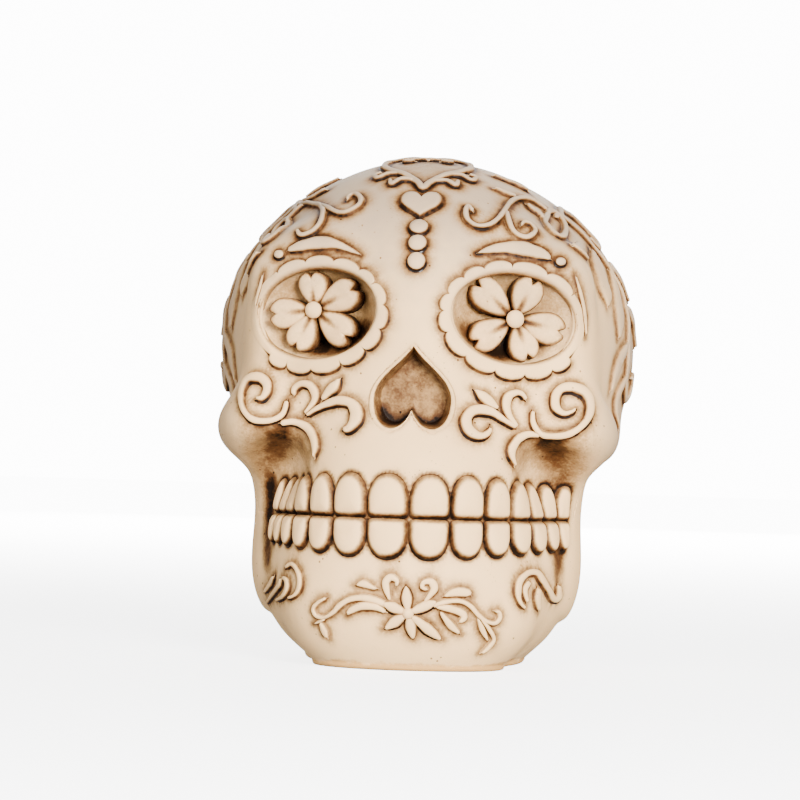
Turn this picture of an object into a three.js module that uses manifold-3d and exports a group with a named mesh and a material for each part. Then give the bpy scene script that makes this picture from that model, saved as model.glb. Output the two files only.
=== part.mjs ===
// Sugar skull: a hollow resin skull with its jaw, set teeth, blossoms in the eye sockets and raised ornament.
// Millimetres, +Z up. The face looks along -Y. The origin lies on the table under the middle of the skull.
import * as THREE from "three";
import { mergeVertices } from "three/addons/utils/BufferGeometryUtils.js";
import Module from "manifold-3d";

const wasm = await Module();
wasm.setup();

// Overall form
const skullWidth = 94;
const skullLength = 120; // from the teeth to the back of the head
const skullHeight = 112;
const front = -skullLength / 2;

// Casting
const wall = 6; // thickness of the hollow braincase
const seatGap = 0.35; // gap round every piece that is set into another
const glueGap = 0.5; // gap under a relief piece, which has to clear the curve of the bone
const baseChamfer = 1.2; // broken edge round the foot
const plateThickness = 3;
const plateAcross = 34;
const plateLength = 32;
const plateLedge = 3; // width of the ledge that the base plate sits against
const plateY = 20;

// Eye sockets
const eyeSpacing = 41.2;
const eyeHeight = 75.9;
const socketAcross = 26.4;
const socketTall = 19;
const socketDepth = 8.5;
const socketTaper = 0.94; // size of the floor against the mouth
const socketTurn = 14; // degrees outwards
const frameWidth = 2.4;
const frameDrop = 0.7; // how much wider the frame is below the eye, and narrower above it
const frameScallops = 13;
const frameScallopDepth = 0.9;
const blossomAcross = 21.5;
const blossomTall = 16.6;
const blossomThickness = 5;
const eyeBeadAcross = 3.8;
const eyeBeadHeight = 1.2;
const rightPetalTurns = [70, -6, -74, 203, 138]; // degrees
const leftPetalTurns = [97, 25, -40, -112, 185];

// Nose
const noseWidth = 16.4;
const noseHeight = 17.4;
const noseFoot = 50.8; // height of the nose's lower edge
const noseDepth = 6;
const noseTaper = 0.8;

// Teeth, counted outwards from the middle
const biteHeight = 32.2;
const toothWidths = [8.8, 7.9, 7.2, 6.8, 6.2, 5.6, 5.2];
const upperToothHeights = [9.5, 9.5, 9, 8.4, 8, 7.6, 7.2];
const lowerToothHeights = [8.1, 7.7, 7.4, 7, 6.8, 6.6, 6.4];
const toothSpacing = 0.4; // gap between neighbouring teeth
const toothRoot = 1.6; // how deep a tooth is set
const toothProud = 0.8;
const toothCrown = 0.6; // extra height at the middle of a tooth

// Masses of bone, each an ellipsoid: its full sizes, how far its middle stands out to each side, behind the
// front and up from the table, and how softly it melts into the rest. One that carves is taken away.
const braincaseDeep = 100;
const braincaseTall = 84;
const foreheadDrop = 37; // from the crown to the middle of the forehead
const braincase = {
  across: skullWidth, deep: braincaseDeep, tall: braincaseTall,
  out: 0, behind: skullLength - braincaseDeep / 2, up: skullHeight - braincaseTall / 2, melt: 1,
};
const forehead = {
  across: 78, deep: 74, tall: 70, out: 0, behind: 47, up: skullHeight - foreheadDrop, melt: 8,
};
const face = { across: 74, deep: 60, tall: 66, out: 0, behind: 40, up: 60, melt: 10 };
const noseBridge = { across: 18, deep: 14, tall: 36, out: 0, behind: 15, up: 72, melt: 10 };
const browRidge = { across: 34, deep: 14, tall: 18, out: 18, behind: 24, up: 84, melt: 12 };
const orbitRim = { across: 12, deep: 20, tall: 46, out: 31.5, behind: 31, up: 68, melt: 9 };
const cheekbone = { across: 21, deep: 28, tall: 17, out: 32.2, behind: 29, up: 51, melt: 8 };
const cheekArch = { across: 8, deep: 46, tall: 9, out: 39.5, behind: 57, up: 50, melt: 7 };
const toothDrum = { across: 60, deep: 78, tall: 74, out: 0, behind: 39, up: 36, melt: 7 };
const cheekHollow = { across: 9, deep: 9, tall: 9, out: 30, behind: 19, up: 41, melt: 9, carves: true };
const ramus = { across: 8.5, deep: 24, tall: 44, out: 32.9, behind: 45, up: 31, melt: 2.5 };
const mandible = { across: 67, deep: 74, tall: 42, out: 0, behind: 40, up: 17.5, melt: 9 };
const chin = { across: 44, deep: 30, tall: 34, out: 0, behind: 17, up: 12, melt: 8 };
const neck = { across: 54, deep: 86, tall: 58, out: 0, behind: 65, up: 16, melt: 12 };
const masses = [
  braincase, forehead, face, noseBridge, browRidge, orbitRim, cheekbone, cheekArch,
  toothDrum, cheekHollow, ramus, mandible, chin, neck,
];

// Jaw joint
const ramusFore = 9; // cut in front of the middle of the ramus
const ramusAft = 12; // cut behind it
const ramusTop = 41;
const ramusLean = 3; // how far the ramus leans back at its top
const jawSpare = 3; // how far the jaw's cut passes the widest part of the skull

// Relief ornament. A drop is measured down from the crown.
const reliefHeight = 1.2;
const beadHeight = 0.7;
const beadCrown = 0.8;
const foreheadHeartWidth = 9.2;
const foreheadHeartHeight = 6;
const foreheadHeartDrop = 13.1;
const foreheadBeadAcross = 4.1;
const foreheadBeadTalls = [3.2, 3.4, 3.7];
const foreheadBeadDrops = [18.4, 22, 25.9];
const crownHeartWidth = 19;
const crownHeartLength = 24;
const crownHeartStroke = 1.6;
const crownHeartSetBack = 37.5; // from the front of the skull to the middle of the heart
const foreheadScrollSpan = 24;
const foreheadScrollTurn = 25; // degrees round and up that the forehead scroll is drawn from
const foreheadScrollTilt = 40;
const foreheadScrollOut = 4.3; // middle of the forehead scroll from the brow above the eye
const foreheadScrollUp = 22;
const browRise = 14.1; // from the middle of the eye to the brow
const browLeafSpan = 16;
const browBeadAcross = 2.3;
const browBeadTall = 1.8;
const browBeadOut = 9.5; // from the middle of the eye
const browBeadUp = 11.6;
const cheekScrollSpan = 28;
const cheekScrollRise = 0.6; // above the middle of the cheekbone
const chinHeight = 12.5;
const chinBlossomAcross = 9;
const chinBeadAcross = 2.6;
const chinScrollSpan = 20;
const jawLoopSpan = 20;
const templeSpraySpan = 40;
const templeSprayTurn = 70; // degrees round and up that the temple spray is drawn from
const templeSprayTilt = 5;
const templeSprayBehind = 66; // behind the front of the skull
const templeSprayDrop = 4; // below the middle of the braincase
const backBlossomAcross = 22;
const backBeadAcross = 5;
const backSpraySpan = 50;
const backSprayDrop = 4; // below the middle of the braincase

// Mesh fineness
const skinColumns = 60;
const crownRows = 15;
const wallRows = 24;
const floorRows = 2;
const strokeStep = 1.5; // length of one stretch of a drawn stroke

const rad = THREE.MathUtils.degToRad;

// Blended field of the masses: below zero in the bone, in millimetres near its skin.
function ellipsoidField(m, x, y, z) {
  const [a, b, c] = [m.across / 2, m.deep / 2, m.tall / 2];
  const [dx, dy, dz] = [Math.abs(x) - m.out, y - front - m.behind, z - m.up];
  const k = Math.hypot(dx / a, dy / b, dz / c);
  const slope = Math.hypot(dx / (a * a), dy / (b * b), dz / (c * c));
  return slope > 0 ? (k * (k - 1)) / slope : -Math.min(a, b, c);
}

function boneField(x, y, z) {
  let d = Infinity;
  for (const m of masses) {
    const e = ellipsoidField(m, x, y, z);
    const h = Math.max(m.melt - Math.abs(m.carves ? d + e : d - e), 0) / m.melt;
    const blend = (h * h * m.melt) / 4;
    d = m.carves ? Math.max(d, -e) + blend : Math.min(d, e) - blend;
  }
  return d;
}

// Follows a straight line from outside until it meets the bone.
function meetBone(from, along) {
  const tracePace = 0.8;
  const traceSteps = 90;
  const closeEnough = 1e-3;
  const p = from.clone();
  for (let i = 0; i < traceSteps; i++) {
    const d = boneField(p.x, p.y, p.z);
    if (d < closeEnough) break;
    p.addScaledVector(along, d * tracePace);
  }
  return p;
}

function boneNormal(p) {
  const h = 0.05;
  return new THREE.Vector3(
    boneField(p.x + h, p.y, p.z) - boneField(p.x - h, p.y, p.z),
    boneField(p.x, p.y + h, p.z) - boneField(p.x, p.y - h, p.z),
    boneField(p.x, p.y, p.z + h) - boneField(p.x, p.y, p.z - h),
  ).normalize();
}

// A seat takes a drawing's (u, v) and gives the point below it with the direction out of the surface there.
// skinSeat drops the drawing onto the bone from a viewpoint round the skull.
function skinSeat(azimuth, elevation, middle = new THREE.Vector3()) {
  const far = 200;
  const [a, e] = [rad(azimuth), rad(elevation)];
  const out = new THREE.Vector3(Math.sin(a) * Math.cos(e), -Math.cos(a) * Math.cos(e), Math.sin(e));
  const right = new THREE.Vector3(Math.cos(a), Math.sin(a), 0);
  const up = new THREE.Vector3().crossVectors(out, right);
  return (u, v) => {
    const from = middle.clone().addScaledVector(right, u).addScaledVector(up, v).addScaledVector(out, far);
    const point = meetBone(from, out.clone().negate());
    return { point, normal: boneNormal(point) };
  };
}

// planeSeat is a flat floor: a middle, its right and up directions, and the normal between them.
function planeSeat(middle, right, up) {
  const normal = new THREE.Vector3().crossVectors(right, up);
  return (u, v) => ({ point: middle.clone().addScaledVector(right, u).addScaledVector(up, v), normal });
}

// A closed surface from rings of points. An open loft ends in a fan at each end; a joined one meets itself.
function loft(rings, joined = false) {
  const count = rings[0].length;
  const points = rings.flat();
  const faces = [];
  const bands = joined ? rings.length : rings.length - 1;
  for (let r = 0; r < bands; r++) {
    const [a, b] = [r * count, ((r + 1) % rings.length) * count];
    for (let i = 0; i < count; i++) {
      const j = (i + 1) % count;
      faces.push(a + i, a + j, b + j, a + i, b + j, b + i);
    }
  }
  if (!joined) {
    const ends = [rings[0], rings[rings.length - 1]];
    ends.forEach((ring, end) => {
      const hub = points.length;
      const start = end ? (rings.length - 1) * count : 0;
      points.push(ring.reduce((sum, p) => sum.add(p), new THREE.Vector3()).divideScalar(count));
      for (let i = 0; i < count; i++) {
        const [p, q] = [start + i, start + ((i + 1) % count)];
        faces.push(...(end ? [p, q, hub] : [q, p, hub]));
      }
    });
  }
  return closedGeometry(points, faces);
}

function closedGeometry(points, faces) {
  let volume = 0;
  const cross = new THREE.Vector3();
  for (let i = 0; i < faces.length; i += 3) {
    const [a, b, c] = [points[faces[i]], points[faces[i + 1]], points[faces[i + 2]]];
    volume += a.dot(cross.crossVectors(b, c));
  }
  if (volume < 0) faces.reverse();
  const geometry = new THREE.BufferGeometry().setFromPoints(points);
  return geometry.setIndex(faces);
}

// A raised ribbon along a drawn curve: a low trapezoid that follows the seat. The curve's z is its width.
function ribbon(seat, curve, steps, closed = false) {
  const crest = 0.55; // width of the top against the foot
  const profile = [[-0.5, 0], [0.5, 0], [crest / 2, 1], [-crest / 2, 1]];
  const rings = [];
  const last = closed ? steps - 1 : steps;
  for (let i = 0; i <= last; i++) {
    const at = curve.getPoint(i / steps);
    const along = curve.getTangent(i / steps).setZ(0).normalize();
    rings.push(profile.map(([side, rise]) => {
      const offset = side * at.z;
      const { point, normal } = seat(at.x - along.y * offset, at.y + along.x * offset);
      return point.addScaledVector(normal, glueGap + rise * reliefHeight);
    }));
  }
  return loft(rings, closed);
}

// A raised plate inside a drawn outline that its middle can see all of. foot is its height above the seat.
function plate(seat, outline, sizes) {
  const { middle = new THREE.Vector2(), foot = glueGap, height, crown = 0, rings = 2 } = sizes;
  const shares = Array.from({ length: rings }, (_, i) => (i + 1) / rings);
  const level = (share, rise) => outline.map((p) => {
    const at = p.clone().sub(middle).multiplyScalar(share).add(middle);
    const { point, normal } = seat(at.x, at.y);
    return point.addScaledVector(normal, rise + (rise > foot ? crown * (1 - share * share) : 0));
  });
  const under = shares.map((share) => level(share, foot));
  const over = shares.map((share) => level(share, foot + height));
  return loft([...under, ...over.reverse()]);
}

function solid(geometry) {
  const bare = new THREE.BufferGeometry().setAttribute("position", geometry.getAttribute("position"));
  bare.setIndex(geometry.index);
  const merged = mergeVertices(bare);
  return new wasm.Manifold(new wasm.Mesh({
    numProp: 3,
    vertProperties: new Float32Array(merged.attributes.position.array),
    triVerts: new Uint32Array(merged.index.array),
  }));
}

function geometryOf(body) {
  const mesh = body.getMesh();
  return new THREE.BufferGeometry()
    .setAttribute("position", new THREE.BufferAttribute(new Float32Array(mesh.vertProperties), 3))
    .setIndex(new THREE.BufferAttribute(new Uint32Array(mesh.triVerts), 1));
}

const joinAll = (geometries) => geometryOf(geometries.map(solid).reduce((a, b) => a.add(b)));

// A sprig is some strokes that touch, drawn round a place: points of [u, v, width] in hundredths of the span.
function sprig(seat, [u, v], span, strokes) {
  const place = new THREE.Vector3(u, v, 0);
  return joinAll(strokes.map((stroke) => {
    const points = stroke.map((p) => new THREE.Vector3(...p).multiplyScalar(span / 100).add(place));
    const curve = new THREE.CatmullRomCurve3(points);
    return ribbon(seat, curve, Math.max(4, Math.round(curve.getLength() / strokeStep)));
  }));
}

const bothSides = (strokes) => strokes.flatMap((stroke) =>
  [stroke, stroke.map(([u, v, width]) => [-u, v, width])]);

// Outlines
const ovalOutline = (across, tall, count = 16) => new THREE.EllipseCurve(0, 0, across / 2, tall / 2)
  .getPoints(count).slice(0, count);

function heartOutline(width, height, count = 20) {
  const shape = new THREE.Shape();
  const [w, h] = [width / 2, height / 2];
  shape.moveTo(0, h * 0.55);
  shape.bezierCurveTo(w * 0.3, h * 1.25, w, h * 1.1, w, h * 0.3);
  shape.bezierCurveTo(w, -h * 0.25, w * 0.3, -h * 0.55, 0, -h);
  shape.bezierCurveTo(-w * 0.3, -h * 0.55, -w, -h * 0.25, -w, h * 0.3);
  shape.bezierCurveTo(-w, h * 1.1, -w * 0.3, h * 1.25, 0, h * 0.55);
  return shape.getSpacedPoints(count).slice(0, count);
}

// Petals with a notch at each tip: a distance from the middle that changes with the angle. turns in degrees.
const petalRing = (start, count = 5) => Array.from({ length: count }, (_, i) => start + (360 * i) / count);
const halfTurn = (angle) => THREE.MathUtils.euclideanModulo(angle + 180, 360) - 180;
function blossomOutline(across, tall, turns, pointsPerPetal = 8) {
  const waist = 0.3;
  const notch = 0.12;
  const notchHalf = 6; // degrees
  const petalHalf = 38; // degrees
  const count = turns.length * pointsPerPetal;
  return Array.from({ length: count }, (_, i) => {
    const angle = turns[0] + (360 * i) / count;
    const off = Math.min(...turns.map((turn) => Math.abs(halfTurn(angle - turn))));
    const swing = Math.cos((Math.PI / 2) * Math.min(1, off / petalHalf));
    const r = waist + (1 - waist) * Math.sqrt(swing) - notch * Math.max(0, 1 - off / notchHalf);
    return new THREE.Vector2((r * across * Math.cos(rad(angle))) / 2, (r * tall * Math.sin(rad(angle))) / 2);
  });
}

// A tooth's outline, square at the bite, round at the gum. way is 1 for an upper tooth, -1 for a lower one.
function toothOutline(width, height, way, grow = 0) {
  const gumRise = 0.38; // share of the height that the round gum end takes
  const half = width / 2 + grow;
  const spring = height * (1 - gumRise);
  const gum = new THREE.EllipseCurve(0, spring, half, height * gumRise + grow, 0, Math.PI).getPoints(8);
  const points = [new THREE.Vector2(-half, -grow), new THREE.Vector2(half, -grow), ...gum];
  return points.map((p) => new THREE.Vector2(p.x, p.y * way));
}

// The skin: rings round a core, fanning over the crown, level down the walls, and in across the floor.
const coreY = -2;
const coreZ = braincase.up;
function skinRings() {
  const far = 150;
  const frontDraw = 0.5; // draws the columns towards the face
  const turns = Array.from({ length: skinColumns }, (_, i) => {
    const u = (i / skinColumns) * 2 * Math.PI;
    return u - frontDraw * Math.sin(u);
  });
  const outward = (turn, rise) => new THREE.Vector3(
    Math.sin(turn) * Math.cos(rise), -Math.cos(turn) * Math.cos(rise), Math.sin(rise));
  const ring = (z, rise) => turns.map((turn) => {
    const out = outward(turn, rise);
    const from = new THREE.Vector3(0, coreY, z).addScaledVector(out, far);
    return meetBone(from, out.negate());
  });
  const crown = Array.from({ length: crownRows }, (_, i) =>
    ring(coreZ, (Math.PI / 2) * (1 - (i + 1) / (crownRows + 1))));
  const walls = Array.from({ length: wallRows }, (_, i) =>
    ring(baseChamfer + (coreZ - baseChamfer) * (1 - i / (wallRows - 1)), 0));
  const foot = ring(0, 0).map((p) =>
    p.addScaledVector(outward(Math.atan2(p.x, coreY - p.y), 0), -baseChamfer));
  const floors = Array.from({ length: floorRows }, (_, i) => foot.map((p) => {
    const share = 1 - (i + 1) / (floorRows + 1);
    return new THREE.Vector3(p.x * share, coreY + (p.y - coreY) * share, 0);
  }));
  return [...crown, ...walls, foot, ...floors];
}

// The jaw's share of the bone, drawn from the side and carried right across. grow opens it for the shell.
function jawBlock(grow) {
  const reach = 30; // past the front
  const below = -10;
  const fore = front + ramus.behind - ramusFore - grow;
  const aft = front + ramus.behind + ramusAft + grow;
  const half = skullWidth / 2 + jawSpare + grow;
  const side = new THREE.Shape([
    [front - reach, below], [aft, below], [aft + ramusLean, ramusTop + grow],
    [fore + ramusLean, ramusTop + grow], [fore, biteHeight + grow], [front - reach, biteHeight + grow],
  ].map(([y, z]) => new THREE.Vector2(y, z)));
  const block = new THREE.ExtrudeGeometry(side, { depth: 2 * half, bevelEnabled: false });
  block.translate(0, 0, -half);
  block.applyMatrix4(new THREE.Matrix4().set(0, 0, 1, 0, 1, 0, 0, 0, 0, 1, 0, 0, 0, 0, 0, 1));
  return solid(block);
}

// The hollow: an oval room one wall inside the braincase, a mouth below it and a rebate for the base plate.
function hollow() {
  const room = new THREE.SphereGeometry(1, 24, 14);
  room.scale(braincase.across / 2 - wall, braincase.deep / 2 - wall, braincase.tall / 2 - wall);
  room.translate(0, front + braincase.behind, braincase.up);
  const level = (across, length, z) => ovalOutline(across, length, 28).map((p) =>
    new THREE.Vector3(p.x, p.y + plateY, z));
  const rebate = [plateAcross + 2 * seatGap, plateLength + 2 * seatGap];
  const mouth = [plateAcross - 2 * plateLedge, plateLength - 2 * plateLedge];
  const top = plateThickness + seatGap;
  const below = -1;
  const shaft = loft([level(...rebate, below), level(...rebate, top), level(...mouth, top),
    level(...mouth, coreZ)]);
  return solid(room).add(solid(shaft));
}

// Eye sockets: an oval cup turned a little outwards. side is 1 for the right eye and -1 for the left one.
const faceSeat = skinSeat(0, 0);
function socketFrame(side) {
  const rim = faceSeat((side * eyeSpacing) / 2, eyeHeight).point;
  const turn = rad(side * socketTurn);
  const out = new THREE.Vector3(Math.sin(turn), -Math.cos(turn), 0);
  const right = new THREE.Vector3(Math.cos(turn), Math.sin(turn), 0);
  return { rim, out, right, up: new THREE.Vector3(0, 0, 1) };
}

function socketCup(side) {
  const { rim, out, right, up } = socketFrame(side);
  const reach = 20; // in front of the rim
  const level = (share, depth) => ovalOutline(socketAcross * share, socketTall * share, 28).map((p) =>
    rim.clone().addScaledVector(right, p.x).addScaledVector(up, p.y).addScaledVector(out, -depth));
  return solid(loft([level(1, -reach), level(1, 0), level(socketTaper, socketDepth)]));
}

function noseCup() {
  const reach = 20;
  const middleZ = noseFoot + noseHeight / 2;
  const mouthY = faceSeat(0, middleZ).point.y;
  const level = (share, depth) => heartOutline(noseWidth * share, noseHeight * share, 24).map((p) =>
    new THREE.Vector3(p.x, mouthY + depth, middleZ - p.y));
  return solid(loft([level(1, -reach), level(1, 0), level(noseTaper, noseDepth)]));
}

// The dental arch: places round the tooth drum measured from the middle, with the level direction outwards.
const archSeat = (() => {
  const samples = 240;
  const sweep = rad(88);
  const far = 100;
  const hit = (turn, z) => {
    const out = new THREE.Vector3(Math.sin(turn), -Math.cos(turn), 0);
    return meetBone(new THREE.Vector3(0, coreY, z).addScaledVector(out, far), out.negate());
  };
  const line = Array.from({ length: samples + 1 }, (_, i) => hit((i / samples) * sweep, biteHeight));
  const lengths = line.map(() => 0);
  for (let i = 1; i <= samples; i++) lengths[i] = lengths[i - 1] + line[i].distanceTo(line[i - 1]);
  const turnAt = (s) => {
    const i = Math.max(1, lengths.findIndex((l) => l >= Math.abs(s)));
    const share = (Math.abs(s) - lengths[i - 1]) / (lengths[i] - lengths[i - 1]);
    return (Math.sign(s) * sweep * (i - 1 + share)) / samples;
  };
  return (s, z) => {
    const point = hit(turnAt(s), z);
    const normal = boneNormal(point).setZ(0).normalize();
    return { point, normal };
  };
})();

function teeth(row, way, heights) {
  const pocketReach = 4; // out of the bone
  const made = [];
  for (const [sideName, side] of [["right", 1], ["left", -1]]) {
    let start = 0;
    toothWidths.forEach((width, i) => {
      const s = side * (start + width / 2);
      const bite = biteHeight + (way > 0 ? seatGap : 0);
      const place = (grow) => toothOutline(width - toothSpacing, heights[i], way, grow)
        .map((p) => p.add(new THREE.Vector2(s, bite)));
      const middle = new THREE.Vector2(s, bite + (way * heights[i]) / 2);
      made.push({
        name: `${row}_tooth_${sideName}_${i + 1}`,
        geometry: plate(archSeat, place(0), {
          middle, foot: -toothRoot, height: toothRoot + toothProud, crown: toothCrown, rings: 1 }),
        pocket: solid(plate(archSeat, place(seatGap), {
          middle, foot: -toothRoot - seatGap, height: toothRoot + pocketReach, rings: 1 })),
      });
      start += width;
    });
  }
  return made;
}

// Right-hand cheek, seen from the front: two spirals, a curl, a bud and a stem.
const cheekScroll = () => sprig(faceSeat, [cheekbone.out, cheekbone.up + cheekScrollRise], cheekScrollSpan, [
  [[-25, 16, 4], [-24, 6, 5], [-18, 0, 5], [-9, -2, 5], [1, -1, 5], [11, 5, 6], [17, 14, 6], [17, 24, 8],
    [13, 31, 9], [4, 35, 9], [-4, 34, 9], [-8, 28, 8], [-8, 19, 7], [-2, 14, 5], [4, 15, 4], [7, 18, 2]],
  [[-18, -1, 4], [-29, -1, 6], [-36, -6, 7], [-40, -12, 7], [-41, -19, 5], [-38, -26, 2]],
  [[-31, -1, 5], [-39, 3, 5], [-47, 8, 5], [-55, 14, 7], [-64, 15, 8], [-71, 14, 9], [-75, 8, 9], [-74, 1, 8],
    [-69, -4, 8], [-63, -5, 6], [-58, -2, 5], [-57, 2, 2]],
  [[-37, 2, 4], [-43, 11, 5], [-46, 19, 7], [-44, 26, 7], [-39, 30, 5], [-34, 29, 4], [-31, 24, 3]],
  [[-69, 30, 2], [-64, 26, 8], [-59, 22, 8], [-50, 12, 4]],
]);

// Forehead: a sweep that ends in a bulb, with a hook below it and leaves at its outer end, drawn from above.
const brow = faceSeat(eyeSpacing / 2, eyeHeight + browRise).point;
const foreheadSeat = skinSeat(foreheadScrollTurn, foreheadScrollTilt, brow);
const foreheadScroll = () => sprig(foreheadSeat, [foreheadScrollOut, foreheadScrollUp], foreheadScrollSpan, [
  [[-47, -46, 5], [-49, -39, 5], [-54, -47, 6], [-55, -58, 6], [-48, -66, 5], [-38, -65, 5], [-27, -58, 6],
    [-16, -44, 6], [-2, -24, 6], [13, -8, 7], [27, -1, 6], [39, -1, 5], [48, -5, 5]],
  [[-15, -42, 5], [-17, -60, 6], [-16, -72, 6], [-10, -79, 6], [-3, -79, 6], [6, -70, 5], [7, -59, 5],
    [-1, -58, 4], [-6, -63, 3]],
  [[23, -16, 4], [22, -27, 9], [32, -22, 8], [42, -4, 4]],
  [[45, -4, 4], [51, -18, 11], [55, -31, 11], [56, -42, 3]],
  [[5, 34, 2], [17, 32, 8], [30, 26, 9], [34, 1, 4]],
  [[-10, -2, 2], [0, -4, 7], [13, -8, 5]],
]);

const browLeaf = () => sprig(faceSeat, [eyeSpacing / 2, eyeHeight], browLeafSpan, [
  [[-49, 79, 3], [-34, 84, 9], [-14, 88, 12], [6, 88, 14], [24, 84, 13], [38, 81, 9], [44, 77, 4]],
]);

const chinScroll = () => sprig(faceSeat, [0, chinHeight], chinScrollSpan, [
  [[28, 8, 6], [42, 12, 6], [57, 13, 6], [68, 8, 6], [76, -1, 6], [84, -7, 6], [92, -9, 6], [98, -4, 6],
    [96, 2, 5], [92, 3, 4]],
  [[31, 8, 5], [45, 5, 8], [57, 0, 9], [62, -5, 8], [57, -10, 3]],
  [[33, 8, 4], [38, -2, 7], [47, -12, 9], [56, -21, 3]],
  [[28, 8, 5], [27, 18, 6], [30, 26, 8], [26, 33, 8], [20, 32, 6], [18, 28, 5]],
  [[37, 12, 4], [47, 21, 8], [57, 24, 11], [67, 22, 4]],
  [[75, -1, 4], [80, -17, 7], [86, -28, 3]],
  [[82, -6, 4], [89, -15, 6], [93, -26, 5], [89, -36, 3]],
]);

const jawLoop = () => sprig(faceSeat, [ramus.out, biteHeight], jawLoopSpan, [
  [[-41, -93, 4], [-46, -86, 5], [-49, -76, 6], [-48, -64, 8], [-39, -56, 8], [-30, -56, 7], [-24, -63, 6],
    [-18, -74, 6], [-11, -85, 7], [-7, -82, 6], [-8, -71, 4]],
  [[-38, -87, 3], [-39, -74, 5], [-36, -57, 6]],
  [[-27, -96, 3], [-29, -83, 6], [-25, -64, 6]],
]);

// Right-hand temple: a curling stem with leaves down the side of the braincase, drawn from the side.
const templeSeat = skinSeat(templeSprayTurn, templeSprayTilt,
  new THREE.Vector3(0, front + templeSprayBehind, braincase.up - templeSprayDrop));
const templeSpray = () => sprig(templeSeat, [0, 0], templeSpraySpan, [
  [[-32, 74, 3], [-22, 75, 3], [-8, 66, 4], [1, 52, 4], [10, 39, 4], [12, 25, 4], [9, 11, 4], [11, -5, 4],
    [20, -20, 4], [32, -26, 4], [41, -20, 4], [39, -12, 4], [32, -14, 3]],
  [[-21, 75, 3], [0, 81, 4], [19, 78, 5], [26, 66, 5], [19, 60, 4], [12, 65, 3]],
  [[-6, 65, 3], [-22, 55, 14], [-34, 40, 11], [-39, 28, 2]],
  [[2, 50, 3], [-9, 36, 12], [-16, 22, 11], [-18, 11, 2]],
  [[11, 20, 3], [-2, 8, 11], [-9, -5, 9], [-10, -15, 2]],
  [[10, -2, 3], [-1, -16, 10], [-2, -30, 8], [1, -39, 2]],
  [[4, 47, 3], [22, 48, 11], [34, 39, 9], [39, 30, 2]],
  [[11, 25, 3], [28, 22, 11], [38, 12, 8], [41, 4, 2]],
]);

// Crown: an outlined heart drawn from above, with a pair of curls from its notch and sprigs at its sides.
const crownSeat = skinSeat(0, 90, new THREE.Vector3(0, front + crownHeartSetBack, 0));
function crownHeart() {
  const loop = new THREE.CatmullRomCurve3(heartOutline(crownHeartWidth, crownHeartLength, 26)
    .map((p) => new THREE.Vector3(p.x, p.y, crownHeartStroke)), true);
  const sprigs = sprig(crownSeat, [0, 0], crownHeartLength, bothSides([
    [[0, 26, 5], [11, 31, 6], [20, 26, 7], [19, 17, 6], [12, 18, 4]],
    [[18, -23, 4], [32, -21, 5], [40, -25, 5], [42, -15, 3]],
    [[8, -40, 4], [19, -37, 5], [27, -40, 5], [27, -47, 3]],
  ]));
  return joinAll([ribbon(crownSeat, loop, 32, true), sprigs]);
}

// Back of the head: a blossom with a scroll to each side, drawn from behind.
const backSeat = skinSeat(180, 0, new THREE.Vector3(0, 0, braincase.up - backSprayDrop));
function backSpray() {
  const scrolls = sprig(backSeat, [0, 0], backSpraySpan, bothSides([
    [[5, -2, 3], [24, -16, 4], [40, -20, 4], [52, -10, 5], [50, 4, 4], [38, 8, 4], [32, 0, 3], [37, -5, 2]],
    [[4, 4, 3], [20, 24, 4], [34, 30, 4], [44, 24, 4], [41, 15, 3], [34, 17, 2]],
    [[3, -5, 3], [16, -32, 4], [30, -42, 4], [40, -36, 4], [37, -28, 3], [31, -30, 2]],
  ]));
  const blossom = plate(backSeat, blossomOutline(backBlossomAcross, backBlossomAcross, petalRing(90), 6),
    { height: reliefHeight, rings: 3 });
  return joinAll([blossom, scrolls]);
}

// The frame round an eye: a ring just outside the socket, cut in scallops, narrow above and broad below.
function eyeFrame() {
  const pointsPerScallop = 4;
  const count = frameScallops * pointsPerScallop;
  const mid = frameWidth / 2 + seatGap;
  const [a, b] = [(socketAcross / 2) * Math.cos(rad(socketTurn)) + mid, socketTall / 2 + mid];
  const points = Array.from({ length: count }, (_, i) => {
    const angle = (i / count) * 2 * Math.PI;
    const scallop = frameScallopDepth * Math.abs(Math.cos((angle * frameScallops) / 2));
    const width = frameWidth - frameDrop * Math.sin(angle) - scallop;
    return new THREE.Vector3(
      eyeSpacing / 2 + a * Math.cos(angle), eyeHeight - frameDrop / 2 + b * Math.sin(angle), width);
  });
  return ribbon(faceSeat, new THREE.CatmullRomCurve3(points, true), count, true);
}

function eyeBlossom(side, turns) {
  const { rim, out, right, up } = socketFrame(side);
  const floor = planeSeat(rim.clone().addScaledVector(out, -socketDepth), right, up);
  const outline = blossomOutline(blossomAcross, blossomTall, turns);
  const petals = plate(floor, outline, { height: blossomThickness });
  const bead = plate(floor, ovalOutline(eyeBeadAcross, eyeBeadAcross, 12),
    { foot: 2 * glueGap + blossomThickness, height: eyeBeadHeight, crown: beadCrown });
  return { petals, bead };
}

// Materials
const ivory = new THREE.MeshStandardMaterial({ color: 0xe6d8c0, roughness: 0.45, metalness: 0 });
const tooth = new THREE.MeshStandardMaterial({ color: 0xefe6d2, roughness: 0.35, metalness: 0 });
const relief = new THREE.MeshStandardMaterial({ color: 0xeadfca, roughness: 0.45, metalness: 0 });
const rawResin = new THREE.MeshStandardMaterial({ color: 0xd9b98c, roughness: 0.7, metalness: 0 });

const sugarSkull = new THREE.Group();
function add(name, geometry, material, parent = sugarSkull) {
  const mesh = new THREE.Mesh(geometry, material);
  mesh.name = name;
  parent.add(mesh);
}

// Pieces that stand on both sides are drawn on the right and mirrored for the left.
const mirrored = new THREE.Group();
mirrored.scale.x = -1;
sugarSkull.add(mirrored);
function addPair(name, geometry) {
  add(`${name}_right`, geometry, relief);
  add(`${name}_left`, geometry, relief, mirrored);
}

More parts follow.
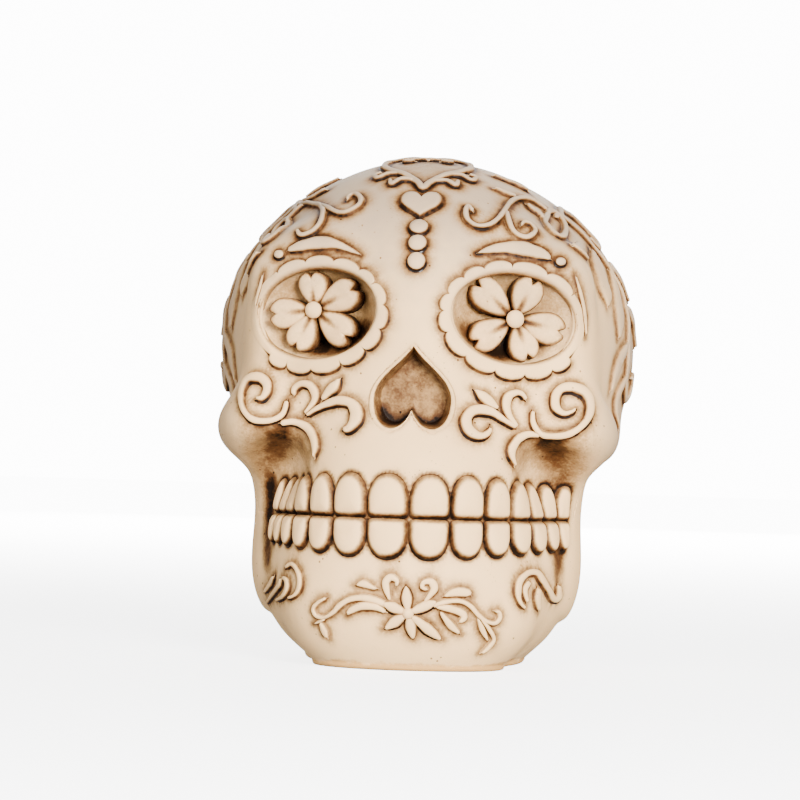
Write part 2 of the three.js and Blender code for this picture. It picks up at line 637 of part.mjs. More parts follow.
// A plate of relief whose outline is moved to a place in the drawing.
function spot(seat, u, v, outline, sizes) {
  const middle = new THREE.Vector2(u, v);
  return plate(seat, outline.map((p) => p.add(middle)), { middle, ...sizes });
}

// Cuts tools out of a body and drops the chips that are left between neighbouring tooth pockets.
function cut(body, tools) {
  const pieces = tools.reduce((left, tool) => left.subtract(tool), body).decompose();
  return pieces.reduce((a, b) => (b.volume() > a.volume() ? b : a));
}

const upperTeeth = teeth("upper", 1, upperToothHeights);
const lowerTeeth = teeth("lower", -1, lowerToothHeights);
const bone = solid(loft(skinRings()));
const shell = cut(bone, [jawBlock(seatGap), hollow(), socketCup(1), socketCup(-1), noseCup(),
  ...upperTeeth.map((t) => t.pocket)]);
const jaw = cut(bone.intersect(jawBlock(0)), lowerTeeth.map((t) => t.pocket));
const platePiece = new THREE.ExtrudeGeometry(new THREE.Shape(ovalOutline(plateAcross, plateLength, 28)),
  { depth: plateThickness, bevelEnabled: false });
platePiece.translate(0, plateY, 0);

add("skull_shell", geometryOf(shell), ivory);
add("jaw", geometryOf(jaw), ivory);
add("base_plate", platePiece, rawResin);
[...upperTeeth, ...lowerTeeth].forEach((t) => add(t.name, t.geometry, tooth));

addPair("eye_frame", eyeFrame());
for (const [name, side, turns] of [["right", 1, rightPetalTurns], ["left", -1, leftPetalTurns]]) {
  const { petals, bead } = eyeBlossom(side, turns);
  add(`eye_blossom_${name}`, petals, relief);
  add(`eye_bead_${name}`, bead, relief);
}

const foreheadBead = { height: beadHeight, crown: beadCrown };
const blossomTop = glueGap + reliefHeight + seatGap;
const blossomBead = { foot: blossomTop, height: beadHeight / 2, crown: beadCrown / 2, rings: 1 };
add("forehead_heart", spot(faceSeat, 0, skullHeight - foreheadHeartDrop,
  heartOutline(foreheadHeartWidth, foreheadHeartHeight), { height: reliefHeight, rings: 3 }), relief);
foreheadBeadDrops.forEach((drop, i) => add(`forehead_bead_${i + 1}`, spot(faceSeat, 0, skullHeight - drop,
  ovalOutline(foreheadBeadAcross, foreheadBeadTalls[i], 12), foreheadBead), relief));
add("crown_heart", crownHeart(), relief);
addPair("forehead_scroll", foreheadScroll());
addPair("brow_leaf", browLeaf());
addPair("brow_bead", spot(faceSeat, eyeSpacing / 2 + browBeadOut, eyeHeight + browBeadUp,
  ovalOutline(browBeadAcross, browBeadTall, 10), { ...foreheadBead, rings: 1 }));
addPair("cheek_scroll", cheekScroll());
addPair("chin_scroll", chinScroll());
addPair("jaw_loop", jawLoop());
addPair("temple_spray", templeSpray());
add("chin_blossom", spot(faceSeat, 0, chinHeight,
  blossomOutline(chinBlossomAcross, chinBlossomAcross, petalRing(90), 6), { height: reliefHeight }), relief);
add("chin_bead", spot(faceSeat, 0, chinHeight,
  ovalOutline(chinBeadAcross, chinBeadAcross, 10), blossomBead), relief);
add("back_spray", backSpray(), relief);
add("back_bead", spot(backSeat, 0, 0, ovalOutline(backBeadAcross, backBeadAcross, 12), blossomBead), relief);

export default sugarSkull;
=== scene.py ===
import math

import bpy
import numpy as np
from mathutils import Matrix, Vector


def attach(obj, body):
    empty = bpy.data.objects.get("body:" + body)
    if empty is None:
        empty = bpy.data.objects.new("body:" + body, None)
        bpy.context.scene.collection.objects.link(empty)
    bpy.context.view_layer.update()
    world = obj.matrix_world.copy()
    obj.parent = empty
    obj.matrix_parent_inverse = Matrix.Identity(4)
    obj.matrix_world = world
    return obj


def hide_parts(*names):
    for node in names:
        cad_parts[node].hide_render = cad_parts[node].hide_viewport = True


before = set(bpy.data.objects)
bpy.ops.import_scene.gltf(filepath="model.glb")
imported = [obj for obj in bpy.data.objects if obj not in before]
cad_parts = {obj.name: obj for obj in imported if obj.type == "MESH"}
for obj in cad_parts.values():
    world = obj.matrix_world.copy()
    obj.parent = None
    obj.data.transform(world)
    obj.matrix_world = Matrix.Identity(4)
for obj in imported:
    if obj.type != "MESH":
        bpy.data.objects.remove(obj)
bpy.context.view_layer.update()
mm = 0.001  # the shapes below are worked out in millimetres and put in as metres

# Camera: nearly level with the teeth, a little to the right, leaning as in the photograph
cameraStand = {
    "turn": 2.8, "distance": 750, "height": 45, "aimX": -5.6, "aimZ": 57.8, "lens": 149, "roll": 1.7,
    "nearest": 0.05, "farthest": 20,
}


def addCamera(c):
    turn = math.radians(c["turn"])
    stand = Vector((math.sin(turn) * c["distance"], -math.cos(turn) * c["distance"], c["height"])) * mm
    aim = Vector((math.cos(turn) * c["aimX"], math.sin(turn) * c["aimX"], c["aimZ"])) * mm
    look = bpy.data.cameras.new("camera")
    look.lens = c["lens"]
    look.clip_start, look.clip_end = c["nearest"], c["farthest"]
    camera = bpy.data.objects.new("camera", look)
    bpy.context.scene.collection.objects.link(camera)
    camera.rotation_mode = "QUATERNION"
    camera.location = stand
    facing = (aim - stand).to_track_quat("-Z", "Y")
    camera.rotation_quaternion = facing @ Matrix.Rotation(math.radians(c["roll"]), 3, "Z").to_quaternion()
    bpy.context.scene.camera = camera


addCamera(cameraStand)

# Masses of bone: full sizes across, deep and tall, the middle's x, y and z, and how softly each melts into
# the rest. One with an x stands on both sides, and one with a melt below zero is carved away.
bone = {
    "braincase": (94, 100, 84, 0, 10, 70, 1),
    "forehead": (74.5, 74, 70, 0, -13, 75, 8),
    "face": (72.5, 60, 66, 0, -20, 60, 10),
    "noseBridge": (18, 14, 36, 0, -45, 72, 10),
    "browRidge": (34, 14, 18, 18, -36, 84, 12),
    "orbitRim": (12, 20, 46, 31, -29, 68, 6),
    "cheekbone": (21, 28, 17, 32.2, -31, 51, 8),
    "cheekArch": (8, 46, 9, 39.5, -3, 50, 7),
    "toothDrum": (60, 78, 74, 0, -21, 36, 7),
    "cheekHollow": (9, 9, 9, 30, -41, 41, -9),
    "ramus": (8.5, 25, 42, 31.6, -15, 34, 8),
    "mandible": (66.5, 74, 44, 0, -20, 18.5, 9),
    "chin": (50, 32, 34, 0, -42, 12, 8),
    "neck": (50, 86, 58, 0, 5, 16, 12),
}
core = {"y": -2, "z": 70}  # the upright line that rings go round, and where the crown's rings end
bite = 32.1  # height of the line where the two rows of teeth meet
uneven = {"height": 0.08, "waves": (3.7, 4.3, 3.9), "starts": (1, 0, 2)}  # of the cast surface
farOut = {"seat": 120, "skin": 110, "arch": 100, "socket": 60}  # where lines towards the bone start
sides = (("right", 1), ("left", -1))


def length(v):
    return np.sqrt((v * v).sum(-1))


def unit(v):
    return v / np.maximum(length(v), 1e-9)[..., None]


def step(low, high, x):
    t = np.clip((x - low) / (high - low), 0, 1)
    return t * t * (3 - 2 * t)


def bell(x, middle, spread):
    return np.exp(-((x - middle) / spread) ** 2)


def fullTurn(count):
    return np.linspace(0, 2 * math.pi, count, endpoint=False)


# Directions square to a closed outline, by turning the line between each point's neighbours
def squareTo(outline):
    tangent = np.roll(outline, -1, 0) - np.roll(outline, 1, 0)
    return unit(np.stack([tangent[:, 1], -tangent[:, 0]], -1))


# Signed distance of each ellipsoid, joined by a smooth minimum that is melt wide, with a product of three
# slow sines for the slight unevenness of a cast
def boneField(p):
    x, y, z = p[..., 0], p[..., 1], p[..., 2]
    total = np.full(x.shape, 1e3)
    for across, deep, tall, mx, my, mz, melt in bone.values():
        offset = np.stack([(np.abs(x) if mx else x) - mx, y - my, z - mz], -1)
        half = np.array([across, deep, tall]) / 2
        k = length(offset / half)
        own = k * (k - 1) / np.maximum(length(offset / half**2), 1e-9)
        soft = abs(melt)
        h = np.maximum(soft - np.abs(total + own if melt < 0 else total - own), 0) / soft
        blend = h * h * soft / 4
        total = np.maximum(total, -own) + blend if melt < 0 else np.minimum(total, own) - blend
    waves = np.sin(p / uneven["waves"] + uneven["starts"])
    return total + uneven["height"] * waves.prod(-1)


# Follows lines from outside, each by a share of the field at its point, until they lie on the surface
def trace(start, along, field, steps=60, share=0.8):
    travel = np.zeros(start.shape[:-1])
    for _ in range(steps):
        travel += share * field(start + along * travel[..., None])
    return start + along * travel[..., None]


def fieldNormal(p, field, h=0.1):
    shifts = np.eye(3) * h
    return unit(np.stack([field(p + s) - field(p - s) for s in shifts], -1))


# A seat takes a drawing's (u, v) in millimetres and gives the points under it with the directions out of the
# bone. skinSeat lets the drawing fall onto the bone from an azimuth and an elevation round the skull.
def skinSeat(azimuth, elevation, middle=(0, 0, 0)):
    a, e = math.radians(azimuth), math.radians(elevation)
    back = np.array([math.sin(a) * math.cos(e), -math.cos(a) * math.cos(e), math.sin(e)])
    right = np.array([math.cos(a), math.sin(a), 0])
    up = np.cross(back, right)

    def seat(u, v):
        start = np.array(middle) + u[..., None] * right + v[..., None] * up + farOut["seat"] * back
        points = trace(start, -back, boneField)
        return points, fieldNormal(points, boneField)

    return seat


# Each closed surface is rings of points: a band of faces between neighbours, and a fan at each end unless the
# last ring joins the first. If the volume comes out below zero, the faces are turned round.
def loft(name, rings, washAndShade, material, joined=False):
    count, around = rings.shape[:2]
    points = rings.reshape(-1, 3)
    washAndShade = np.broadcast_to(washAndShade, (count, around)).reshape(-1)
    start = np.arange(count if joined else count - 1)[:, None] * around
    following = (start + around) % (count * around)
    i = np.arange(around)[None, :]
    j = (i + 1) % around
    quads = np.stack([start + i, start + j, following + j, following + i], -1).reshape(-1, 4)
    fans = np.zeros((0, 3), int)
    if not joined:
        hub = len(points)
        last = (count - 1) * around
        first = np.stack([j[0], i[0], np.full(around, hub)], -1)
        final = np.stack([last + i[0], last + j[0], np.full(around, hub + 1)], -1)
        fans = np.concatenate([first, final])
        points = np.concatenate([points, [rings[0].mean(0)], [rings[-1].mean(0)]])
        washAndShade = np.concatenate([washAndShade, [washAndShade[:around].mean(), washAndShade[-around:].mean()]])
    triangles = np.concatenate([quads[:, [0, 1, 2]], quads[:, [0, 2, 3]], fans])
    a, b, c = (points[triangles[:, k]] for k in range(3))
    if (a * np.cross(b, c)).sum() < 0:
        quads, fans = quads[:, ::-1], fans[:, ::-1]
    return addMesh(name, points, quads, fans, washAndShade, material)


def addMesh(name, points, quads, fans, washAndShade, material):
    mesh = bpy.data.meshes.new(name)
    corners = np.concatenate([quads.ravel(), fans.ravel()])
    sizes = np.concatenate([np.full(len(quads), 4), np.full(len(fans), 3)])
    mesh.vertices.add(len(points))
    mesh.vertices.foreach_set("co", (points * mm).astype(np.float32).ravel())
    mesh.loops.add(len(corners))
    mesh.loops.foreach_set("vertex_index", corners.astype(np.int32))
    mesh.polygons.add(len(sizes))
    mesh.polygons.foreach_set("loop_start", (np.cumsum(sizes) - sizes).astype(np.int32))
    mesh.polygons.foreach_set("use_smooth", np.ones(len(sizes), bool))
    # this attribute carries the wash together with painted shade
    mesh.attributes.new("washAndShade", "FLOAT", "POINT").data.foreach_set("value", washAndShade.astype(np.float32))
    mesh.update(calc_edges=True)
    mesh.materials.append(material)
    piece = bpy.data.objects.new(name, mesh)
    bpy.context.scene.collection.objects.link(piece)
    return piece


def joinPieces(name, made):
    first, *others = made
    bpy.ops.object.select_all(action="DESELECT")
    for piece in made:
        piece.select_set(True)
    bpy.context.view_layer.objects.active = first
    if others:
        bpy.ops.object.join()
    first.name = name
    return first


# The skull has one body, which all its pieces ride on; most pieces stand for a node
def place(piece, slot, *nodes):
    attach(piece, "root")
    if nodes:
        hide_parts(*nodes)


# A smooth line through drawn points: cubic stretches between them, sampled evenly along its length in u and v
def smoothLine(drawn, samples, perStretch=24):
    p = np.array(drawn, float)
    p = np.concatenate([[2 * p[0] - p[1]], p, [2 * p[-1] - p[-2]]])
    a, b, c, d = p[:-3, None], p[1:-2, None], p[2:-1, None], p[3:, None]
    t = np.linspace(0, 1, perStretch, endpoint=False)[None, :, None]
    line = b + 0.5 * t * (c - a + t * (2 * a - 5 * b + 4 * c - d + t * (3 * (b - c) + d - a)))
    line = np.concatenate([line.reshape(-1, p.shape[1]), p[-2:-1]])
    run = np.concatenate([[0], np.cumsum(length(np.diff(line[:, :2], axis=0)))])
    at = np.linspace(0, run[-1], samples)
    return np.stack([np.interp(at, run, line[:, k]) for k in range(p.shape[1])], -1), run[-1]


ink = {"relief": [], "tooth": [], "rim": []}  # edges that the wash has gathered along

# The fringe is the wash that has pooled on the bone along an edge; below the edge it is drawn wider and
# darker than above, as painted shade
fringe = {"wide": 0.44, "down": 0.22, "dark": 0.84, "shadeBelow": 0.28, "paleBelow": 0.2}


def fringeWidth(down):
    return fringe["wide"] + fringe["down"] * down


# painted shade: the fringe is darker on the side of an edge that faces down
def fringeWashAndShade(dark, down):
    return dark * (fringe["dark"] + fringe["shadeBelow"] * down * (dark > fringe["paleBelow"]))


# Across a stroke, from its edge in: share of the half width, of the fringe and of the height, lift, wash
ribbonSection = np.array([
    (1, 1, 0, -0.10, 0.45), (1, 0.55, 0, 0.03, 0.95), (1, 0, 0.05, 0.02, 1.05), (0.95, 0, 0.36, 0, 0.9),
    (0.86, 0, 0.64, 0, 0.45), (0.62, 0, 0.88, 0, 0.10), (0.22, 0, 1, 0, 0.05)])
# pastTip holds the rings past each tip, as shares of the fringe. A swell, the unevenness of handwork, is its
# share, its radians per mm and its start.
stroke = {
    "spacing": 0.3, "fewest": 14, "narrowest": 0.3, "foot": 0.6,
    "pastTip": (1, 0.8, 0.45), "tipWidth": 0.02, "tipHeight": 0.3,
    "widthSwells": ((0.06, 0.9, 0), (0.025, 2.2, 0)), "heightSwells": ((0.1, 0.8, 1),),
}


def swell(swells, travel):
    return 1 + sum(share * np.sin(rate * travel + start) for share, rate, start in swells)


# A raised ribbon: the section carried along a drawn line whose third value is its width, with round tips
def ribbonRings(seat, drawn, height=0.9, mirror=1, strength=1.0):
    _, run = smoothLine(drawn, 200)
    line, run = smoothLine(drawn, max(stroke["fewest"], int(run / stroke["spacing"])))
    count = len(line)
    beyond = np.array(stroke["pastTip"])
    extra = len(beyond)
    along = unit(np.gradient(line[:, :2], axis=0))
    over = fringe["wide"] * beyond[:, None]
    before, after = line[0, :2] - along[0] * over, line[-1, :2] + along[-1] * over[::-1]
    middle = np.concatenate([before, line[:, :2], after])
    drawnAt = np.clip(np.arange(-extra, count + extra), 0, count - 1)
    along, width = along[drawnAt], line[drawnAt, 2]
    travel = np.arange(len(width)) * run / count + drawn[0][0]
    half = 0.5 * np.maximum(width, stroke["narrowest"]) * swell(stroke["widthSwells"], travel)
    fromTip = np.minimum(np.arange(count), np.arange(count)[::-1]) * run / (count - 1)
    inset = 1 - np.minimum(fromTip / half[extra:-extra], 1)
    bare = np.full(extra, stroke["tipWidth"])
    tip = np.concatenate([bare, np.sqrt(np.clip(1 - inset**2, 0.001, 1)), bare])
    half = half * tip
    past = np.sqrt(1 - (0.97 * beyond) ** 2)
    pool = np.concatenate([past, np.ones(count), past[::-1]])[:, None]
    side = np.repeat([-1.0, 1.0], len(ribbonSection))
    share, spread, rise, lift, dark = np.concatenate([ribbonSection, ribbonSection[::-1]]).T
    down = -side * along[:, :1]
    across = side * (share * half[:, None] + spread * fringeWidth(down) * pool)
    u = middle[:, :1] - along[:, 1:] * across
    v = middle[:, 1:] + along[:, :1] * across
    points, normals = seat(mirror * u, v)
    low = stroke["tipHeight"]
    tall = height * (low + (1 - low) * tip) * swell(stroke["heightSwells"], travel)
    top = points + normals * (rise * tall[:, None] + lift)[..., None]
    crest = len(ribbonSection) - 1
    under = points[:, [crest]] - stroke["foot"] * normals[:, [crest]]
    ink["relief"].append(points[::2, [2, -3]].reshape(-1, 3))
    washAndShade = strength * fringeWashAndShade(dark, down)
    return np.concatenate([top, under], 1), np.concatenate([washAndShade, np.ones((len(u), 1))], 1)


# Height over a plate by the share of the way to its edge: one power keeps the top flat, the other rounds it
def domeTop(flat, soft):
    return lambda share: np.clip(1 - share**flat, 0, 1) ** soft


flatTop = domeTop(7, 0.55)
beadTop = domeTop(2.2, 0.5)
toothTop = domeTop(3, 0.6)

# Rings of a plate as shares of the way out to its edge; two more lie past the rim, in the fringe
plateShares = np.concatenate([np.linspace(0.06, 0.78, 9), [0.86, 0.92, 0.96, 0.985, 1, 1, 1]])
rimRing = len(plateShares) - 3
platePast = np.concatenate([np.zeros(rimRing + 1), [0.55, 1]])[:, None]
plateLift = np.concatenate([np.zeros(rimRing), [0.02, 0.03, -0.10]])


# A raised plate inside an outline: rings from the middle of the underside, in from the fringe and over the
# top. The wash on top starts at the share washFrom, and is at least gapWash from the rim out.
def plateRings(seat, outline, middle, height, dome=flatTop, foot=-0.4, spread=1.0, inkName="relief",
               washFrom=0.8, gapWash=0.0):
    middle = np.array(middle, float)
    offset = outline - middle
    aside = squareTo(outline)
    aside = aside * np.sign((aside * offset).sum())
    down = -aside[None, :, 1]
    past = platePast * spread * fringeWidth(down)
    uv = middle + plateShares[:, None, None] * offset + past[..., None] * aside
    points, normals = seat(uv[..., 0], uv[..., 1])
    top = points + normals * (height * dome(plateShares) + plateLift)[:, None, None]
    under = points[[0, rimRing - 1]] + foot * normals[[0, rimRing - 1]]
    if inkName:
        ink[inkName].append(points[rimRing, ::2])
    dark = np.concatenate([1.05 * step(washFrom, 1, plateShares[:-2]), [1.05, 0.55]])[:, None]
    washAndShade = fringeWashAndShade(dark, down)
    washAndShade[rimRing:] = np.maximum(washAndShade[rimRing:], gapWash)
    return np.concatenate([under, top[::-1]]), np.concatenate([np.ones((2, len(outline))), washAndShade[::-1]])


def oval(across, tall, count=40):
    a = fullTurn(count)
    return np.stack([across / 2 * np.cos(a), tall / 2 * np.sin(a)], -1)


# A heart's edge as two cubic arcs, a lobe and a flank, mirrored
def heart(width, height, count=25):
    w, h = width / 2, height / 2
    t = np.linspace(0, 1, count)[:, None]
    bend = lambda a, b, c, d: (1 - t)**3 * a + 3 * (1 - t)**2 * t * b + 3 * (1 - t) * t * t * c + t**3 * d
    lobe = bend(*np.array([[0, h * 0.55], [w * 0.3, h * 1.25], [w, h * 1.1], [w, h * 0.3]]))
    flank = bend(*np.array([[w, h * 0.3], [w, -h * 0.25], [w * 0.3, -h * 0.55], [0, -h]]))
    side = np.concatenate([lobe, flank[1:]])
    return np.concatenate([side, side[-2:0:-1] * [-1, 1]])


# Shader maths: a socket that takes the usual operators
class Wire:
    def __init__(self, tree, socket):
        self.tree, self.socket = tree, socket

    def node(self, kind, settings=None, inputs=None, output=0):
        made = self.tree.nodes.new(kind)
        for key, value in (settings or {}).items():
            setattr(made, key, value)
        for key, value in (inputs or {}).items():
            if isinstance(value, Wire):
                self.tree.links.new(value.socket, made.inputs[key])
            else:
                made.inputs[key].default_value = value
        return Wire(self.tree, made.outputs[output])

    def maths(self, operation, a, b=0.0):
        return self.node("ShaderNodeMath", {"operation": operation}, {0: a, 1: b})

    def __add__(self, other):
        return self.maths("ADD", self, other)

    def __radd__(self, other):
        return self.maths("ADD", other, self)

    def __sub__(self, other):
        return self.maths("SUBTRACT", self, other)

    def __rsub__(self, other):
        return self.maths("SUBTRACT", other, self)

    def __mul__(self, other):
        return self.maths("MULTIPLY", self, other)

    def __rmul__(self, other):
        return self.maths("MULTIPLY", other, self)

    def ramp(self, low, high):
        return self.node("ShaderNodeMapRange", {"interpolation_type": "SMOOTHSTEP"},
                         {"Value": self, "From Min": low, "From Max": high})

    def mix(self, share, colour, other):
        first = colour if isinstance(colour, Wire) else (*colour, 1)
        inputs = {"Factor": share, 6: first, 7: (*other, 1)}
        return self.node("ShaderNodeMix", {"data_type": "RGBA"}, inputs, 2)

    def mixTo(self, share, colour):
        return self.mix(share, self, colour)

    def noise(self, scale, detail=4, rough=0.55):
        return self.node("ShaderNodeTexNoise", None,
                         {"Vector": self, "Scale": scale, "Detail": detail, "Roughness": rough})

    def cells(self, scale):
        return self.node("ShaderNodeTexVoronoi", None, {"Vector": self, "Scale": scale})

    def feed(self, shader, name):
        self.tree.links.new(self.socket, shader.inputs[name])


# Cast resin: ivory with painted shade that greys it towards the crown and the sides, stained from tan through
# brown to black where the wash and painted shade lie thick. The scales are those of its blotches and grain,
# per metre.
resin = {
    "ivory": (0.88, 0.55, 0.25), "shade": (0.74, 0.46, 0.21), "paintedShade": (0.37, 0.27, 0.18),
    "tan": (0.27, 0.137, 0.042), "brown": (0.078, 0.030, 0.009), "black": (0.0085, 0.0036, 0.0014),
    "raw": (0.62, 0.33, 0.11), "paintedShadeHeight": (0.064, 0.102), "paintedShadeSide": (0.034, 0.048), "roughness": 0.54,
    "shader": {"Specular IOR Level": 0.07, "Coat Roughness": 0.16, "Subsurface Weight": 0.06,
               "Subsurface Radius": (0.004, 0.0025, 0.0015), "Subsurface Scale": 0.5},
    "scales": {"shade": 28, "stain": 55, "speckled": 90, "blotch": 130, "ragged": 160, "pits": 380,
               "rub": 430, "specks": 1100, "fine": 1900},
}


# wear is how strongly pits and stains show, and below the height rawBelow the resin is bare
def resinMaterial(name, wear, rawBelow=None):
    material = bpy.data.materials.new(name)
    material.use_nodes = True
    tree = material.node_tree
    shader = tree.nodes["Principled BSDF"]
    scales = resin["scales"]
    here = Wire(tree, tree.nodes.new("ShaderNodeTexCoord").outputs["Object"])
    # this attribute holds the wash together with painted shade: below edges, under the cheekbones and arches,
    # and high in the eye sockets
    washAndShade = here.node("ShaderNodeAttribute", {"attribute_name": "washAndShade"}, None, 2)
    blotch = here.noise(scales["blotch"], 5, 0.62)
    rub = here.noise(scales["rub"], 5, 0.6).ramp(0.30, 0.70)
    fine = here.noise(scales["fine"], 4, 0.6)
    stain = here.noise(scales["stain"], 4, 0.6).ramp(0.50, 0.78)
    pits = here.cells(scales["pits"]).ramp(0.12, 0.05) * blotch.ramp(0.47, 0.57)
    speckled = here.noise(scales["speckled"], 3, 0.6).ramp(0.52, 0.64)
    specks = here.cells(scales["specks"]).ramp(0.16, 0.08) * speckled
    pit = pits + specks * 0.7
    rubbed = 0.71 + 0.2 * blotch.ramp(0.36, 0.64) + 0.34 * rub
    depth = washAndShade * rubbed + (fine - 0.5) * 0.36 * washAndShade.ramp(0.02, 0.3)
    depth = depth + pit * wear + stain * wear * 0.16
    shaded = here.noise(scales["shade"], 3, 0.5).ramp(0.42, 0.72) * 0.6
    colour = here.mix(shaded, resin["ivory"], resin["shade"])
    height = here.node("ShaderNodeSeparateXYZ", None, {0: here}, 2)
    aside = here.maths("ABSOLUTE", here.node("ShaderNodeSeparateXYZ", None, {0: here}, 0))
    # painted shade: the resin greys and darkens towards the crown and the sides, where less light falls
    paintedShade = (height + (blotch - 0.5) * 0.02).ramp(*resin["paintedShadeHeight"])
    colour = colour.mixTo(here.maths("MAXIMUM", paintedShade, aside.ramp(*resin["paintedShadeSide"])) * 0.9, resin["paintedShade"])
    if rawBelow:
        ragged = height + (here.noise(scales["ragged"], 5, 0.7) - 0.5) * 0.004
        colour = colour.mixTo(ragged.ramp(rawBelow, rawBelow * 0.55), resin["raw"])
    colour = colour.mixTo(depth.ramp(0.02, 0.42) * 0.85, resin["tan"])
    colour = colour.mixTo(depth.ramp(0.30, 0.78), resin["brown"])
    colour = colour.mixTo(depth.ramp(0.74, 1.05), resin["black"])
    rough = fine * 0.25 + rub * 0.22 + blotch * 0.6 - pit * 0.8
    bump = here.node("ShaderNodeBump", None, {"Strength": 0.35, "Distance": 0.0004, "Height": rough})
    colour.feed(shader, "Base Color")
    (resin["roughness"] + (fine - 0.5) * 0.2).feed(shader, "Roughness")
    (washAndShade.ramp(1.08, 1.2) * 0.5).feed(shader, "Coat Weight")  # only the thickest pools shine
    bump.feed(shader, "Normal")
    for socket, value in resin["shader"].items():
        shader.inputs[socket].default_value = value
    return material


boneResin = resinMaterial("boneResin", 0.5, rawBelow=0.0019)
reliefResin = resinMaterial("reliefResin", 0.25)
toothResin = resinMaterial("toothResin", 0.2)
rawResin = resinMaterial("rawResin", 0.4, rawBelow=0.02)

# Eye sockets: turn faces the mouth outwards and tilt lets its outer end hang, in degrees. The skin's hole is
# seam wider than the lining and goes clear deeper.
faceSeat = skinSeat(0, 0)
eye = {
    "x": {1: 20.9, -1: 21.5}, "z": 75.1, "across": 28, "tall": 20.4, "depth": 8.5, "turn": 14, "tilt": 7,
    "seam": 0.5, "clear": 7,
}


def socketAxes(side):
    rim, _ = faceSeat(np.array([side * eye["x"][side]]), np.array([eye["z"]]))
    turn = math.radians(side * eye["turn"])
    return (rim[0], np.array([math.sin(turn), -math.cos(turn), 0]),
            np.array([math.cos(turn), math.sin(turn), 0]), np.array([0, 0, 1.0]))


axes = {side: socketAxes(side) for side in (1, -1)}


def leaned(x, z, degrees):
    lean = math.radians(degrees)
    return x * math.cos(lean) - z * math.sin(lean), x * math.sin(lean) + z * math.cos(lean)


# Edge of an eye's mouth as offsets across and up: an oval whose outer end hangs a little
def eyeEdge(a, side):
    return leaned(eye["across"] / 2 * np.cos(a), eye["tall"] / 2 * np.sin(a), -side * eye["tilt"])


# Holes that push the skin in, so that the linings show: an oval cup for each eye, a heart for the nose
def socketHole(p):
    total = np.full(p.shape[:-1], 1e3)
    a, b = eye["across"] / 2 + eye["seam"], eye["tall"] / 2 + eye["seam"]
    for side in (1, -1):
        rim, out, right, up = axes[side]
        q = p - rim
        x, z = leaned(q @ right, q @ up, side * eye["tilt"])
        ovalGap = (np.sqrt((x / a) ** 2 + (z / b) ** 2) - 1) * b
        total = np.minimum(total, np.maximum(ovalGap, -(q @ out) - eye["depth"] - eye["clear"]))
    return total


# overrun is the depth, in mm, that one whole share before the wall's start or past its end stands for
nose = {
    "width": 16.4, "height": 17.5, "foot": 50.8, "depth": 6, "taper": 0.84, "overrun": 4, "seam": 0.4,
    "clear": 1.2,
}
nose["z"] = nose["foot"] + nose["height"] / 2
noseFront = faceSeat(np.zeros(1), np.array([nose["z"]]))[0][0, 1]
noseEdge = heart(nose["width"], nose["height"]) * [1, -1] + [0, nose["z"]]


# The heart's reach at each point's own turn round its middle is taken off the point's distance from there
def noseHole(p):
    x, z = noseEdge[:, 0], noseEdge[:, 1] - nose["z"]
    turn = np.arctan2(z, x)
    order = np.argsort(turn)
    at = np.arctan2(p[..., 2] - nose["z"], p[..., 0])
    reach = np.interp(at, turn[order], np.hypot(x, z)[order], period=2 * math.pi)
    heartGap = np.hypot(p[..., 0], p[..., 2] - nose["z"]) - reach
    return np.maximum(heartGap - nose["seam"], p[..., 1] - noseFront - nose["depth"] - nose["clear"])


# The jaw's upper edge is the bite in front and rises to the ramus between the turns in frontTurn; its rear
# edge leans back with height
jaw = {
    "ramusBack": -3, "lean": 3, "top": 41, "frontTurn": (54, 59), "reach": 34, "inset": 0.7, "thick": 4,
    "edgeSoft": (0.2, 1.4), "columns": 330, "rows": 90, "sideDraw": 0.12, "innerEvery": 4, "innerDrop": 0.1,
}


def jawTop(turn):
    low, high = (math.radians(a) for a in jaw["frontTurn"])
    return bite + (jaw["top"] - bite) * step(low, high, np.abs(turn))


def jawRear(z):
    rear = jaw["ramusBack"] + jaw["lean"] * z / jaw["top"]
    return math.pi / 2 + np.arctan((rear - core["y"]) / jaw["reach"])


# The skull's skin stands back a little under the jaw, which covers it there
def skinField(p):
    turn = np.arctan2(p[..., 0], core["y"] - p[..., 1])
    rear = (jawRear(p[..., 2]) - np.abs(turn)) * jaw["reach"]
    under = step(*jaw["edgeSoft"], jawTop(turn) - p[..., 2]) * step(*jaw["edgeSoft"], rear)
    solid = boneField(p) + jaw["inset"] * under
    return np.maximum(solid, -np.minimum(socketHole(p), noseHole(p)))


def outward(turn, rise):
    return np.stack([np.sin(turn) * np.cos(rise), -np.cos(turn) * np.cos(rise), np.sin(rise) + 0 * turn], -1)


# Points that lie at a reach from the core's line, at turns round it and heights
def aroundCore(turn, rise, z, reach):
    out = outward(turn, rise)
    flat = 0 * out[..., 0]
    return np.stack([flat, core["y"] + flat, z + flat], -1) + reach * out, out


# Rings round the core: fanning over the crown, level down the walls, round the lower edge and in across the
# floor. frontDraw draws the columns together on the face.
skin = {
    "columns": 400, "crownRows": 112, "wallRows": 118, "frontDraw": 0.55, "edge": 1.2, "edgeRows": 6,
    "floor": (0.2, 0.5, 0.8),
}


def skinRings():
    u = fullTurn(skin["columns"])
    turn = u - skin["frontDraw"] * np.sin(u)
    rise = np.linspace(math.pi / 2, 0, skin["crownRows"] + 1)[1:]
    edge = skin["edge"]
    level = np.linspace(core["z"], edge, skin["wallRows"])[1:]
    z = np.concatenate([np.full(len(rise), core["z"]), level])[:, None]
    rise = np.concatenate([rise, np.zeros(len(level))])[:, None]
    start, out = aroundCore(turn[None, :] + 0 * z, rise, z, farOut["skin"])
    shown = trace(start, -out, skinField)
    inward = np.array([0, core["y"], 0]) - shown[-1] * [1, 1, 0]
    turnIn = [shown[-1] + unit(inward) * edge * (1 - math.cos(a)) - [0, 0, edge * math.sin(a)]
              for a in np.linspace(0, math.pi / 2, skin["edgeRows"])[1:]]
    floor = [turnIn[-1] + inward * share for share in skin["floor"]]
    return np.concatenate([shown, np.stack(turnIn), np.stack(floor)])


